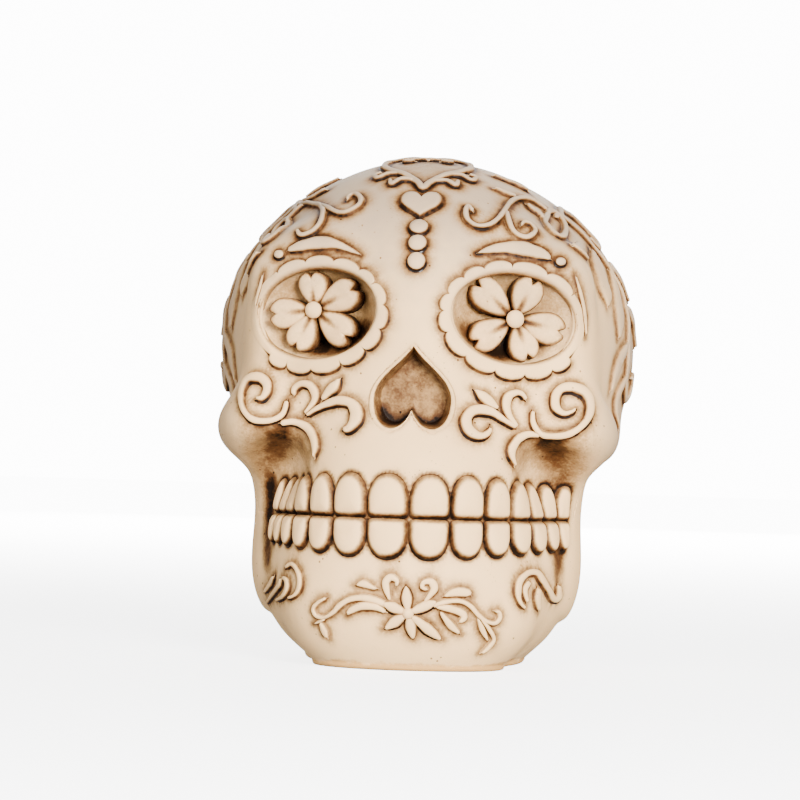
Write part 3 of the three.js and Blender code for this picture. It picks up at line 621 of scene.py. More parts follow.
# Distance to the nearest of the marks, worked out for some thousand points at a time
def nearest(points, marks, atOnce=2000):
    marks = np.concatenate(marks).astype(np.float32)
    squares = (marks * marks).sum(1)
    best = np.empty(len(points))
    for first in range(0, len(points), atOnce):
        part = points[first:first + atOnce].astype(np.float32)
        gap = (part * part).sum(1)[:, None] + squares - 2 * part @ marks.T
        best[first:first + atOnce] = np.sqrt(np.maximum(gap.min(1), 0))
    return best


# Wash on the skin. Edges pool it, as pairs of strength and reach in mm, and more so high on the forehead.
# Hollows hold it: the probes that find them are distances and weights. The stains and the painted shade below
# them are strength, then middle and spread along one or two axes.
skinStainAndShade = {
    "edges": {"relief": ((0.36, 0.8), (0.24, 2.4)), "tooth": ((0.8, 0.55), (0.16, 1.8)),
              "rim": ((0.2, 1.2),)},
    "darkerAbove": (80, 92), "darker": 0.7, "probes": ((2, 0.2), (4, 0.3), (8, 0.35), (14, 0.3)),
    "hollow": 0.85, "hollowFrom": (0.22, 0.85), "hollowAbove": (16, 27), "most": 1.15,
    "washAndShadeUnderCheekbone": (0.64, (29.8, 4.2), (46.3, 3.8)), "cheekboneFront": -18,
    "shadeUnderArch": (0.2, (36, 6), (48.5, 4)), "archFront": -10,
    "crown": (0.25, (0, 6), (-22, 8)), "crownAbove": 95,
    "behindTeeth": (0.75, (31.5, 1.2)), "teethAbove": (17, 23), "teethBelow": (43, 37), "teethFront": -19,
}


# Hollows show by how much nearer the bone is, a few distances out, than it would be over a flat place
def hollowness(p, field):
    normals = fieldNormal(p, field)
    return sum(weight * np.clip(1 - field(p + normals * distance) / distance, 0, 1.5)
               for distance, weight in skinStainAndShade["probes"])


def skinWashAndShade(points):
    s = skinStainAndShade
    flat = points.reshape(-1, 3)
    x, y, z = np.abs(flat[:, 0]), flat[:, 1], flat[:, 2]
    pools = {}
    for name, pairs in s["edges"].items():
        gap = nearest(flat, ink[name])
        pools[name] = sum(strength * bell(gap, 0, reach) for strength, reach in pairs)
    washAndShade = pools["relief"] * (1 + s["darker"] * step(*s["darkerAbove"], z)) + pools["tooth"] + pools["rim"]
    washAndShade += s["hollow"] * step(*s["hollowFrom"], hollowness(flat, boneField)) * step(*s["hollowAbove"], z)
    spot = lambda first, second, strength, one, two: strength * bell(first, *one) * bell(second, *two)
    # wash, and painted shade of the hollow, in a pocket under each cheekbone
    washAndShade += spot(x, z, *s["washAndShadeUnderCheekbone"]) * (y < s["cheekboneFront"])
    # painted shade under the lower edge of each cheek arch
    washAndShade += spot(x, z, *s["shadeUnderArch"]) * (y < s["archFront"])
    washAndShade += spot(x, y, *s["crown"]) * (z > s["crownAbove"])
    strength, line = s["behindTeeth"]
    beside = step(*s["teethAbove"], z) * step(*s["teethBelow"], z) * (y < s["teethFront"])
    washAndShade += strength * bell(x, *line) * beside
    return np.clip(washAndShade, 0, s["most"]).reshape(points.shape[:-1])


print("teeth")
# Widths run from the middle out for each side, and heights for each row. spring is the share of the height
# where a tooth is widest, and the powers shape its edge: an oval at the gum, nearly square at the bite.
tooth = {
    "widths": {1: (8.7, 7.8, 7.2, 7.0, 6.6, 6.0, 4.6), -1: (8.9, 8.2, 7.1, 5.9, 5.1, 4.1, 3.2)},
    "upper": (9.3, 9.3, 8.9, 8.5, 8.1, 7.8, 7.5), "lower": (8.5, 8.2, 7.7, 7.3, 7, 6.7, 6.5),
    "gap": 0.15, "proud": 1.8, "biteGap": 0.12, "middle": 0.3, "spring": 0.36, "taper": 0.03, "hub": 0.45,
    "gumPowers": (0.92, 0.95), "bitePower": 0.26, "foot": -1.2, "fringe": 0.6, "washFrom": 0.68,
    "gapWash": 0.98,
}
archReach = {"end": 88, "samples": 240}  # the bone's outline at the bite, by turn from the front in degrees


def archHit(turn, z):
    start, out = aroundCore(turn, 0 * turn, z, farOut["arch"])
    return trace(start, -out, boneField)


archTurns = np.radians(np.linspace(0, archReach["end"], archReach["samples"]))
archLine = archHit(archTurns, np.full(len(archTurns), bite))
archRun = np.concatenate([[0], np.cumsum(length(np.diff(archLine, axis=0)))])


# Seat for the teeth: u runs along the bone's outline at the bite and v is the height
def archSeat(s, z):
    turn = np.sign(s) * np.interp(np.abs(s), archRun, archTurns)
    points = archHit(turn, z)
    return points, unit(fieldNormal(points, boneField) * [1, 1, 0])


# A tooth's edge: powers of cosine and sine, one pair of them above its spring and one below
def toothEdge(width, height, way):
    a = fullTurn(72)
    c, n = np.cos(a), np.sin(a)
    spring = height * tooth["spring"]
    gumX, gumZ = tooth["gumPowers"]
    x = width / 2 * np.sign(c) * np.abs(c) ** np.where(n > 0, gumX, tooth["bitePower"])
    x = x * (1 - tooth["taper"] * np.clip(-n, 0, 1))
    gum = spring + (height - spring) * np.abs(n) ** gumZ
    z = np.where(n > 0, gum, spring - spring * np.abs(n) ** tooth["bitePower"])
    return np.stack([x, z], -1) * [1, way]


def addTeeth(row, way):
    for sideName, side in sides:
        start = 0
        for number, (width, height) in enumerate(zip(tooth["widths"][side], tooth[row])):
            along = side * (start + width / 2) + tooth["middle"]
            middle = np.array([along, bite + way * tooth["biteGap"] / 2])
            edge = toothEdge(width - tooth["gap"], height, way) + middle
            centre = middle + [0, way * height * tooth["hub"]]
            rings, washAndShade = plateRings(archSeat, edge, centre, tooth["proud"], toothTop, tooth["foot"],
                                     tooth["fringe"], "tooth", tooth["washFrom"], tooth["gapWash"])
            piece = loft(f"{row}Tooth{sideName.title()}{number + 1}", rings, washAndShade, toothResin)
            place(piece, "tooth", f"{row}_tooth_{sideName}_{number + 1}")
            start += width


addTeeth("upper", 1)
addTeeth("lower", -1)

print("sockets and nose")
# The lining's wall is steep all round but eases towards the temple. outside is its back, as shares of the
# mouth and depths below the lip, and the bowl's rows go from the lip to the middle.
lining = {
    "columns": 180, "lip": 0.7, "steep": 3.4, "eased": 1.8, "rounding": 0.62,
    "outside": ((1.12, eye["depth"] + 1), (1.12, 1.6), (1.05, 0.9)),
    "bowl": np.concatenate([np.linspace(1.0, 0.8, 16), np.linspace(0.78, 0.04, 24)]),
    "washAndShade": 0.14, "deepWash": 0.24, "lowWash": 0.85, "topShade": 0.10,
}


# A lining is a closed cup: up its outside to a lip under the frame, then a bowl that is soon deep and flat
def addSocket(name, side):
    s = lining
    rim, out, right, up = axes[side]
    a = fullTurn(s["columns"])
    across, rise = eyeEdge(a, side)
    spoke = across[:, None] * right + rise[:, None] * up
    ray = rim + spoke + farOut["socket"] * out
    lip = (trace(ray, np.broadcast_to(-out, ray.shape), boneField) - rim) @ out
    steep = s["steep"] - s["eased"] * step(-0.2, 0.9, side * np.cos(a))
    fall = np.clip(1 - s["bowl"][:, None] ** steep, 0, 1) ** s["rounding"]
    sunk = s["lip"] + (eye["depth"] - s["lip"]) * fall
    outside = np.array(s["outside"])
    share = np.concatenate([outside[:, 0], s["bowl"]])[:, None]
    depth = lip * np.minimum(share, 1) ** 3 - np.concatenate([np.repeat(outside[:, 1:], len(a), 1), sunk])
    rings = rim + spoke * share[..., None] + depth[..., None] * out
    ink["rim"].append(rim + spoke + lip[:, None] * out)
    low, high = step(-0.1, -0.8, np.sin(a)), step(0.0, 0.8, np.sin(a))
    deep = np.concatenate([np.zeros((len(outside), len(a))), fall])
    # painted shade on the upper part of each socket lining, under the brow; the low pool is wash
    washAndShade = s["washAndShade"] + s["deepWash"] * deep + s["lowWash"] * low * step(0.3, 0.8, deep) + s["topShade"] * high
    place(loft(name, rings, washAndShade, boneResin), "bone")


for sideName, side in sides:
    addSocket("eyeSocket" + sideName.title(), side)

# The nose's rows as share of the heart and share of the depth: a flange that laps the skin, then the wall in
# to the taper, then the floor, a little deeper at its middle
noseRows = [(1.14, 1.2), (1.14, 0.5), (1.12, 0.03), (1.09, -0.015), (1.05, -0.02), (1.015, -0.015)]
noseRows += [(1 - (1 - nose["taper"]) * s, s) for s in np.linspace(0.02, 1, 22)]
noseRows += [(nose["taper"] * s, 1.0 + 0.06 * (1 - s)) for s in np.linspace(0.95, 0.05, 10)]
noseWash = {"hollow": 0.58, "wall": 0.06, "low": 0.5, "flange": 0.16}


def addNose():
    x, z = noseEdge[:, 0], noseEdge[:, 1] - nose["z"]
    start = np.stack([x, 0 * x - farOut["seat"], noseEdge[:, 1]], -1)
    front = trace(start, np.broadcast_to([0, 1.0, 0], start.shape), boneField)[:, 1]
    share, deep = np.array(noseRows).T[:, :, None]
    y = front * (1 - np.clip(deep, 0, 1)) + (noseFront + nose["depth"]) * np.clip(deep, 0, 1)
    y = y + (np.maximum(0, deep - 1) + np.minimum(0, deep)) * nose["overrun"]
    rings = np.stack([x * share, y, z * share + nose["z"]], -1)
    ink["rim"].append(np.stack([x, front, noseEdge[:, 1]], -1))
    low = step(-2, -8, z * share)
    wall = step(0.1, 0.9, deep) * step(0.6, 0.84, share)
    washAndShade = noseWash["hollow"] + noseWash["wall"] * wall + noseWash["low"] * low * wall
    inside = step(-0.02, 0.08, deep)
    place(loft("noseHollow", rings, washAndShade * inside + noseWash["flange"] * (1 - inside), boneResin), "bone")


addNose()

print("eye frames and blossoms")
# Scallops run between the listed turns, in degrees round the eye; past the last one the frame is plain
scallop = {
    "height": 0.5, "top": 2.0, "bottom": 3.1, "dip": 1.6, "plain": 1.3, "plainShown": 0.12, "arch": 0.8,
    "shadeBelow": 0.25, "dipDark": 0.45, "columns": 420,
    "turns": {1: (39, 68, 99, 124, 145, 167, 185, 206, 233, 260, 284, 308, 327),
              -1: (-138, -120, -98, -72, -48, -25, -1, 24, 44, 70, 95, 122)},
}
# Across the frame, from the fringe in: share of the reach and of the fringe, lift, share of the height, wash,
# and the share of the dips' own wash
frameSection = np.array([
    (1, 1, -0.10, 0, 0.30, 0), (1, 0.55, 0.03, 0, 0.80, 0), (1, 0, 0.02, 0.05, 0.95, 0),
    (0.96, 0, 0, 0.55, 0.75, 0.6), (0.88, 0, 0, 0.9, 0.25, 0.8), (0.72, 0, 0, 1, 0.06, 0.6),
    (0.5, 0, 0, 1, 0.02, 0.3), (0.25, 0, 0, 0.95, 0.02, 0.1), (0, 0, 0, 0.75, 0.05, 0)])
# Then over the inner edge: how far in, how far down, wash
frameRoll = np.array([(0.2, 0.1, 0.14), (0.4, 0.4, 0.3), (0.52, 0.9, 0.42), (0.58, 1.8, 0.5), (0.1, 2.2, 1)])
frameEdgeRows = 5  # rows of the section that are darker below than above


# Frame: a low band whose outer edge is cut in arches between dips and whose inner edge rolls into the socket
def addEyeFrame(name, node, side):
    s = scallop
    cuts = np.radians(s["turns"][side])
    a = cuts[0] + fullTurn(s["columns"])
    inArch = np.interp(a, cuts, np.arange(len(cuts)))
    t = inArch - np.floor(np.minimum(inArch, len(cuts) - 1.001))
    inside = a < cuts[-1]
    arch = np.where(inside, np.sqrt(np.clip(1 - (2 * t - 1) ** 2, 0, 1)) ** s["arch"], 0)
    fromEnd = np.minimum(np.abs(a - cuts[-1]), np.abs(a - cuts[0] - 2 * math.pi))
    shown = np.where(inside, 1, s["plainShown"] + (1 - s["plainShown"]) * bell(fromEnd, 0, 0.12))
    reach = s["top"] + (s["bottom"] - s["top"]) * step(0.9, -0.9, np.sin(a))
    reach = np.where(inside, reach - s["dip"] * (1 - arch), s["plain"])
    rimX, rimZ = eyeEdge(a, side)
    rim = np.stack([rimX * math.cos(math.radians(eye["turn"])), rimZ], -1)
    aside = squareTo(rim)
    down = -aside[:, 1]
    share, more, lift, rise, dark, inDips = frameSection.T[:, :, None]
    inward, sink, rollDark = frameRoll.T[:, :, None]
    offset = np.concatenate([reach * share + fringeWidth(down) * shown * more, 0 * a - inward])
    height = np.concatenate([lift + s["height"] * rise * shown, 0 * a - sink])
    u = rim[:, 0] + offset * aside[:, 0] + side * eye["x"][side]
    v = rim[:, 1] + offset * aside[:, 1] + eye["z"]
    points, normals = faceSeat(u, v)
    ink["relief"].append(points[2, inside][::2])
    edgeRow = np.arange(len(frameSection))[:, None] < frameEdgeRows
    # painted shade: the frame's edge rows are darker where they face down
    washAndShade = dark * np.where(edgeRow, shown * (fringe["dark"] + s["shadeBelow"] * down), 1)
    washAndShade = washAndShade + s["dipDark"] * step(0.25, 0.0, arch) * inside * inDips
    washAndShade = np.concatenate([washAndShade, rollDark + 0 * a])
    place(loft(name, points + normals * height[..., None], washAndShade, reliefResin, joined=True), "relief", node)


# Petals of each blossom as turn in degrees, length and width. The drawn half edge runs from the root to the
# notch, in shares of these, and heights are from the middle of the socket's mouth.
blossom = {
    "middle": {1: (0.75, -0.1), -1: (-1.6, 0.7)}, "bead": {1: 1.95, -1: 1.85}, "beadFlat": 0.75,
    "beadLift": 0.2, "height": -3.3, "lift": 1.3, "crown": 0.35, "crease": 0.45, "drop": 1.5, "skirt": 1.6,
    "floor": -8.0, "hub": 0.58,
    "petals": {1: ((140, 12.0, 7.1), (65, 9.7, 7.0), (-13, 11.3, 7.1), (-69, 9.3, 6.6), (211, 10.9, 6.9)),
               -1: ((95, 8.2, 6.7), (27, 11.1, 7.2), (-36, 10.8, 7.2), (-116, 9.4, 6.8), (187, 10.0, 6.9))},
    "edge": ((0.08, 0.03), (0.14, 0.13), (0.28, 0.29), (0.46, 0.43), (0.64, 0.5), (0.80, 0.475), (0.92, 0.36),
             (0.995, 0.19), (0.97, 0.09), (0.865, 0.0)),
    "shares": np.concatenate([np.linspace(0.05, 0.8, 13), [0.87, 0.92, 0.96, 0.985, 1, 1.01, 1.01]]),
    "washAndShade": 0.14, "creaseWash": 0.6, "rootWash": 0.3, "rimWash": 0.5, "notchWash": 0.25,
    "sideWash": (0.75, 0.9, 1.05),
}


# Petal: a plate round a point of its own, creased down the middle from the root, cupped up to its notched tip
def petalRings(side, turn, long, wide):
    b = blossom
    rim, out, right, up = axes[side]
    half, _ = smoothLine(b["edge"], 40)
    edge = np.concatenate([half, half[-2::-1] * [1, -1]]) * [long, wide]
    hub = np.array([b["hub"] * long, 0])
    share = b["shares"]
    local = hub + share[:, None, None] * (edge - hub)
    s, t = local[..., 0] / long, local[..., 1] / (0.5 * wide)
    crease = bell(t, 0, 0.16) * step(0.78, 0.35, s)
    rounding = np.clip(1 - share**5, 0, 1)[:, None] ** 0.55
    height = b["height"] + b["lift"] * s**1.5 + b["crown"] * (1 - t**2) - b["crease"] * crease
    height = height - b["drop"] * (1 - rounding)
    height[-2] = height[-3] - b["skirt"]
    height[-1] = b["floor"]
    x, z = leaned(local[..., 0], local[..., 1], turn)
    x, z = x + b["middle"][side][0], z + b["middle"][side][1]
    level = rim + x[..., None] * right + z[..., None] * up
    top, under = level + height[..., None] * out, level[:1] + b["floor"] * out
    washAndShade = b["washAndShade"] + b["creaseWash"] * crease * step(0.72, 0.25, s) + b["rootWash"] * step(0.32, 0.12, s)
    washAndShade = washAndShade + b["rimWash"] * step(0.80, 1, share)[:, None]
    washAndShade = washAndShade + b["notchWash"] * step(0.82, 0.9, s) * bell(t, 0, 0.3)
    washAndShade[-3:] = np.array(b["sideWash"])[:, None]
    return np.concatenate([top, under]), np.concatenate([np.clip(washAndShade, 0, 1.05), np.ones((1, len(edge)))])


# Five petals in one piece, and a bead whose rings make a flattened ball that faces out of the socket
def addEyeBlossom(sideName, side):
    rim, out, right, up = axes[side]
    name = "eyeBlossom" + sideName.title()
    made = [loft(f"{name}{number}", *petalRings(side, *petal), reliefResin)
            for number, petal in enumerate(blossom["petals"][side])]
    place(joinPieces(name, made), "relief", "eye_blossom_" + sideName)
    a = fullTurn(36)
    around = np.cos(a)[:, None] * right + np.sin(a)[:, None] * up
    lat = np.linspace(-0.45 * math.pi, 0.47 * math.pi, 18)
    x, z = blossom["middle"][side]
    centre = rim + x * right + z * up + (blossom["height"] + blossom["beadLift"]) * out
    ball = np.cos(lat)[:, None, None] * around + blossom["beadFlat"] * np.sin(lat)[:, None, None] * out
    washAndShade = 0.9 * step(0.45, -0.35, lat)[:, None]
    bead = loft("eyeBead" + sideName.title(), centre + blossom["bead"][side] * ball, washAndShade, reliefResin)
    place(bead, "relief", "eye_bead_" + sideName)


for sideName, side in sides:
    addEyeFrame("eyeFrame" + sideName.title(), "eye_frame_" + sideName, side)
for sideName, side in sides:
    addEyeBlossom(sideName, side)

print("relief")
# Height of each carving, and how strong its wash is
carving = {
    "cheekScroll": (1.0, 0.95), "chinScroll": (0.75, 0.62), "jawLoop": (0.75, 0.85), "browLeaf": (0.6, 0.8),
    "sideLeaf": (0.4, 0.8), "foreheadScroll": (0.9, 0.85), "templeSpray": (0.9, 0.8),
    "chinBlossom": (1.0, 0.95), "backSpray": (1.2, 1.0), "crownHeart": (0.9, 1.0),
}


# Strokes that make one carving are joined into one piece. A stroke is points of (u, v, width).
def carve(kind, drawings, end="", mirror=1):
    height, strength = carving[kind]
    strokes = [(seat, drawn) for seat, drawing in drawings for drawn in drawing]
    made = [loft(f"{kind}{end}{number}", *ribbonRings(seat, drawn, height, mirror, strength), reliefResin)
            for number, (seat, drawn) in enumerate(strokes)]
    return joinPieces(kind + end, made)


# Drawings for each side, seen from the front: x out from the middle, z, width
cheek = {
    1: [
        [(25.1, 55.5, 1.1), (25.4, 52.8, 1.4), (27.1, 50.9, 1.3), (29.7, 50.5, 1.3), (32.7, 50.8, 1.4),
         (35.4, 52.4, 1.5), (37, 54.8, 1.7), (37.1, 57.6, 2), (35.8, 59.7, 2.4), (33.4, 60.8, 2.3),
         (31.1, 60.4, 2.3), (29.9, 58.7, 2.2), (30.1, 56.3, 1.9), (31.7, 55, 1.3), (33.4, 55.3, 0.9),
         (34.2, 56, 0.4)],
        [(26.9, 50.5, 0.6), (24.2, 50.6, 1.5), (22.1, 49.5, 1.9), (20.9, 47.5, 1.8), (20.8, 45.8, 1.3),
         (21.4, 43.7, 0.2)],
        [(21.6, 51.8, 0.8), (19.1, 53.2, 1.3), (16.7, 54.8, 1.9), (14.4, 55.3, 2.3), (12.4, 54.9, 2.5),
         (11.3, 53.3, 2.5), (11.6, 51.4, 2.3), (13, 50, 2.1), (14.6, 49.7, 1.7), (15.8, 50.5, 1.3),
         (16.2, 51.6, 0.4)],
        [(21.8, 52, 0.6), (20.1, 54.1, 1.5), (19.4, 56.4, 2), (19.8, 58.4, 1.9), (21.3, 59.3, 1.5),
         (22.6, 59, 1.2), (23.5, 57.8, 0.9)],
        [(12.8, 59.5, 0.4), (14.3, 58.3, 2.1), (15.8, 57.1, 2.3), (17.7, 55.7, 0.8)],
    ],
    -1: [
        [(27.3, 56.1, 1.1), (28, 53.5, 1.3), (29.7, 52.2, 1.3), (32, 51.7, 1.3), (34.4, 52, 1.4),
         (36.2, 53.5, 1.3), (37.2, 55.7, 1.3), (37.4, 58, 1.5), (36.6, 60.1, 1.8), (35, 61, 2.2),
         (33.2, 60.9, 2.3), (31.9, 59.6, 2.3), (31.8, 57.9, 2), (32.6, 56.4, 1.3), (34, 56.2, 0.4)],
        [(28.6, 51.4, 1.1), (25.8, 51.8, 1.5), (22.9, 50.9, 1.9), (21.1, 49, 1.9), (20.3, 46.7, 1.7),
         (20.4, 44.2, 0.2)],
        [(22.6, 53.1, 0.6), (20.2, 54.7, 1.3), (17.5, 55.9, 1.8), (15.1, 56.4, 2.3), (12.8, 55.8, 2.5),
         (11.6, 54, 3), (11.8, 52, 2.7), (13, 50.4, 1.9), (14.3, 50.2, 1.3)],
        [(23, 53.5, 0.6), (21.1, 56.1, 1.5), (21, 58, 1.9), (22.1, 59.6, 1.9), (24, 59.9, 1.7),
         (25.6, 58.8, 1.5), (25.8, 57.3, 1.1)],
        [(19.3, 56.5, 0.9), (17.8, 58.3, 2.1), (16.5, 59.6, 2.3), (15.5, 61.1, 0.4)],
    ],
}
chinScroll = {
    1: [
        [(5.7, 14.1, 1), (8.3, 15, 1), (11.4, 15.2, 1), (13.5, 14.2, 1), (15.2, 12.3, 1), (16.9, 11.1, 0.9),
         (18.5, 10.7, 0.9), (19.5, 11.7, 0.9), (19.3, 13, 0.8), (18.5, 13.2, 0.6)],
        [(6.5, 13.9, 0.6), (9, 13.7, 1.5), (11.5, 12.9, 1.7), (12.3, 11.9, 1.5), (11.3, 10.8, 0.6)],
        [(7.4, 12.9, 0.6), (9.5, 10.2, 1.7), (11.4, 8.5, 0.6)],
        [(4, 14.9, 0.6), (5.2, 16.4, 1.2), (6, 17.8, 1.7), (5.3, 19.1, 1.6), (3.9, 19, 1.2), (3.5, 18, 1),
         (4.6, 17.4, 0.6)],
        [(8.1, 16.2, 0.4), (9.7, 16.9, 1.7), (11.4, 17.1, 2.1), (13, 16.9, 1.7), (13.5, 16.5, 0.4)],
        [(15, 11.7, 0.4), (16.1, 9.2, 1.3), (17.2, 7, 0.4)],
        [(15.6, 11.7, 0.4), (17.3, 9.6, 1), (18.4, 7.4, 0.8), (17.4, 5.7, 0.8), (15.9, 4.4, 0.4)],
    ],
    -1: [
        [(3.5, 13.8, 1.3), (6.2, 14.9, 1.5), (9, 15.3, 1.4), (11.6, 14.8, 1.3), (13.5, 13.6, 1.2),
         (15, 12, 1), (17, 10.8, 0.8), (18.8, 11.1, 0.8), (19.3, 12.6, 0.8), (18.2, 13.9, 0.8),
         (16.6, 14.9, 0.6)],
        [(3.9, 12.5, 0.8), (6, 13.5, 1.5), (8.8, 13.6, 1.7), (11.1, 12.6, 1.5), (12, 11.7, 0.6)],
        [(3.1, 15.1, 0.6), (3.8, 17.1, 1.5), (4, 18.8, 1.7), (3, 19.8, 1.5), (1.7, 19.1, 1.1),
         (1.9, 18, 0.8)],
        [(10.2, 17.9, 0.4), (8.7, 18.2, 1.7), (7, 17.6, 1), (5.9, 17.3, 0.4)],
        [(17.7, 9.7, 0.6), (17, 8, 1.5), (16.3, 6.6, 0.6)],
        [(19, 9.4, 0.3), (17.9, 9.9, 0.6), (16.8, 10.4, 0.4)],
    ],
}
jawLoop = {
    1: [
        [(24.6, 13.7, 0.6), (23.6, 15, 0.8), (23.1, 17.1, 1.3), (23.4, 19.5, 1.5), (25, 21.1, 1.5),
         (26.9, 21.1, 1.3), (28, 19.6, 1.3), (29.3, 17.4, 1.3), (30.6, 15.3, 1.5), (31.6, 15.9, 1.3),
         (31.4, 18.3, 0.9)],
        [(25, 15, 0.6), (24.5, 17.5, 1.1), (25.3, 19.4, 1.1)],
        [(27.5, 13.1, 0.6), (27.1, 15.7, 1.3), (27.2, 17.9, 1.1)],
    ],
    -1: [
        [(25.2, 14.2, 0.6), (23.5, 15.2, 0.8), (22.6, 17, 1.1), (22.7, 19.1, 1.1), (23.8, 20.9, 1.1),
         (25, 21.4, 0.9), (26.2, 20.5, 0.6)],
        [(28.4, 13.4, 0.6), (26.5, 14.5, 0.9), (25.5, 16.3, 1.1), (25.8, 18, 1.1), (26.9, 18.5, 0.6)],
        [(31.4, 12.3, 0.5), (29.7, 14.3, 0.9), (27.6, 16.7, 1), (26.9, 18.3, 0.6)],
        [(31.8, 14.7, 0.7), (30.3, 16.5, 1.1), (29.2, 18.5, 0.6)],
    ],
}
browLeaf = {
    1: [
        [(12.7, 88.6, 0.3), (15.2, 89.4, 1.6), (18.3, 90, 2.6), (21.5, 90, 3.1), (24.5, 89.4, 3.0),
         (26.6, 88.8, 2.2), (28, 88, 0.6)],
    ],
    -1: [
        [(28.2, 88.4, 0.8), (25.4, 89.3, 2.4), (22.1, 90, 2.9), (19, 90, 2.5), (16.1, 89.2, 1.5),
         (12.4, 87.6, 0.3)],
    ],
}
sideLeaf = {
    1: [
        [(33.4, 84.6, 0.3), (34.4, 81.6, 0.7), (35.2, 78.4, 0.8), (35.7, 75.4, 0.7), (35.9, 72.4, 0.3)],
    ],
    -1: [
        [(33.5, 83.2, 0.3), (34.1, 80.8, 0.7), (34.7, 78.6, 0.7), (35.1, 76.4, 0.3)],
    ],
}
# Forehead drawings fall from above the eye, with their ends farther round, and the temple's from the side.
# The corner leaf fills the place between them.
foreheadScroll = {
    1: [
        [(-11.2, -11, 1.1), (-11.8, -9.3, 1.1), (-12.9, -11.2, 1.3), (-13.1, -13.9, 1.2),
         (-11.6, -15.8, 1.1), (-9.1, -15.7, 1.1), (-6.6, -13.9, 1.2), (-3.9, -10.6, 1.2), (-0.5, -5.7, 1.3),
         (3.2, -1.9, 1.3), (6.6, -0.2, 1.2), (9.4, -0.3, 1.1), (11.6, -1.2, 0.9)],
        [(-3.3, -10.5, 1.1), (-4.1, -14.4, 1.3), (-3.9, -17.3, 1.3), (-2.5, -19, 1.3), (-0.7, -19, 1.3),
         (1.4, -16.9, 1.1), (1.2, -14.6, 1), (-0.4, -14.3, 0.9), (-1.6, -15.6, 0.6)],
        [(1.1, 8.2, 0.4), (4.1, 7.8, 1.8), (7.1, 7.1, 2), (9.5, 5.7, 0.7)],
        [(-2.4, -0.4, 0.4), (0, -1.2, 1.5), (2.7, -1.7, 0.9)],
    ],
    -1: [
        [(-3.9, -7.2, 0.9), (-3.8, -5.6, 1.1), (-5.1, -5.2, 1.1), (-7.3, -7.1, 1.3), (-8.2, -9.6, 1.3),
         (-7.5, -11.8, 1.3), (-6, -13, 1.3), (-3.5, -12.3, 1.3), (0.4, -9.5, 1.1), (3.5, -6.7, 0.9)],
        [(16.5, 2.4, 0.9), (13.8, 0.5, 1.1), (8.1, -3.4, 1.2), (3.7, -6.9, 1.3), (0.1, -11.3, 1.3),
         (-1.6, -15.6, 1.3), (-1.3, -18.6, 1.3), (0.3, -20, 1.2), (1.9, -19.9, 1.1), (3.2, -18.4, 0.8)],
        [(7, 1.9, 0.4), (9.4, 1.8, 1.3), (11.9, 1.8, 1.6), (15.5, 3, 0.4)],
        [(10.5, 12.3, 0.4), (13, 10.7, 1.3), (15.5, 8.9, 1.6), (18.2, 7.8, 0.5)],
    ],
}
loopLeaf = [(-3, 4.8, 1.6), (-7.4, 1.3, 1.6), (-10.9, -2.9, 1.6), (-11.4, -5.4, 1.6), (-9.6, -5.9, 1.6),
            (-5, -3.4, 1.6), (-0.5, -0.2, 1.6), (2.6, 3.2, 1.6), (2.9, 5.4, 1.6), (1.4, 6.8, 1.6),
            (-1.1, 6.3, 1.6), (-3, 4.8, 0.9)]
foreheadEnd = {
    1: [
        loopLeaf,
        [(-9.8, 6.1, 0.7), (-9.3, 4.8, 1.9), (-7.8, 4.1, 2.7), (-7.0, 2.7, 1.9), (-7.6, 1.6, 0.7)],
        [(-9.2, -9.2, 0.4), (-7.8, -9.9, 1.5), (-5.9, -10.7, 1.7), (-4.0, -11, 0.7)],
    ],
    -1: [
        [(u + 2.5, v - 4, w) for u, v, w in loopLeaf],
        [(-1, 6.2, 0.7), (0.2, 5, 2.2), (1.5, 3.5, 2.4), (2.2, 2.2, 0.7)],
        [(-9, -13.4, 0.4), (-7.4, -14.4, 1.5), (-5.6, -15.6, 1.7), (-4, -16.8, 0.6)],
    ],
}
templeSpray = [
    [(-12.8, 29.6, 1.1), (-8.8, 30, 1.2), (-1.6, 27, 1.4), (3.8, 21.2, 1.5), (7.6, 15.6, 1.5),
     (8.6, 10, 1.5), (6.8, 4.4, 1.5), (6, -2, 1.5), (8.4, -8, 1.5), (12.8, -10.4, 1.5), (16.4, -8, 1.5),
     (15.6, -4.8, 1.4), (12.8, -5.6, 1)],
    [(-8.4, 30, 1.1), (0, 32.4, 1.5), (7.6, 31.2, 1.9), (10.4, 26.4, 1.9), (7.6, 24, 1.5), (4.8, 26, 1.1)],
    [(-2.8, 22.6, 1.2), (-3.8, 19.2, 6.6), (-4.8, 15.4, 8.2), (-5.6, 12, 6.8), (-6, 9.6, 1)],
    [(4.4, 18.4, 1), (3.4, 14, 5), (2.2, 9.8, 6.2), (0.6, 6, 5), (-0.6, 2.8, 0.8)],
    [(5.6, 2, 0.9), (1.2, -1.6, 3.9), (-2, -5.4, 3.6), (-3, -9, 0.6)],
    [(6.6, -5, 0.9), (3.8, -9.4, 3.6), (2.8, -14, 2.8), (3.6, -17.4, 0.6)],
    [(5.4, 18.8, 0.9), (11.6, 19.2, 3.9), (16, 15.6, 3.2), (17.8, 12, 0.6)],
    [(8.2, 10, 0.9), (13.8, 8.8, 3.9), (17.2, 4.8, 2.8), (18.2, 1.6, 0.6)],
]
cornerLeaf = [
    [(2.4, 18.8, 0.4), (3.6, 18.2, 1.9), (5.4, 18.6, 2.2), (7, 20, 0.6)],
]
# Where they fall from: azimuth out from the front, elevation, and a point on the drawing's middle line
seats = {"forehead": (25, 40, (0, 10, 70)), "foreheadEnd": (45, 30, (0, 10, 70)),
         "temple": (70, 5, (0, 6, 66)), "corner": (40, 8, (0, 0, 66))}


def sideSeat(name, side):
    azimuth, elevation, middle = seats[name]
    return skinSeat(side * azimuth, elevation, middle)


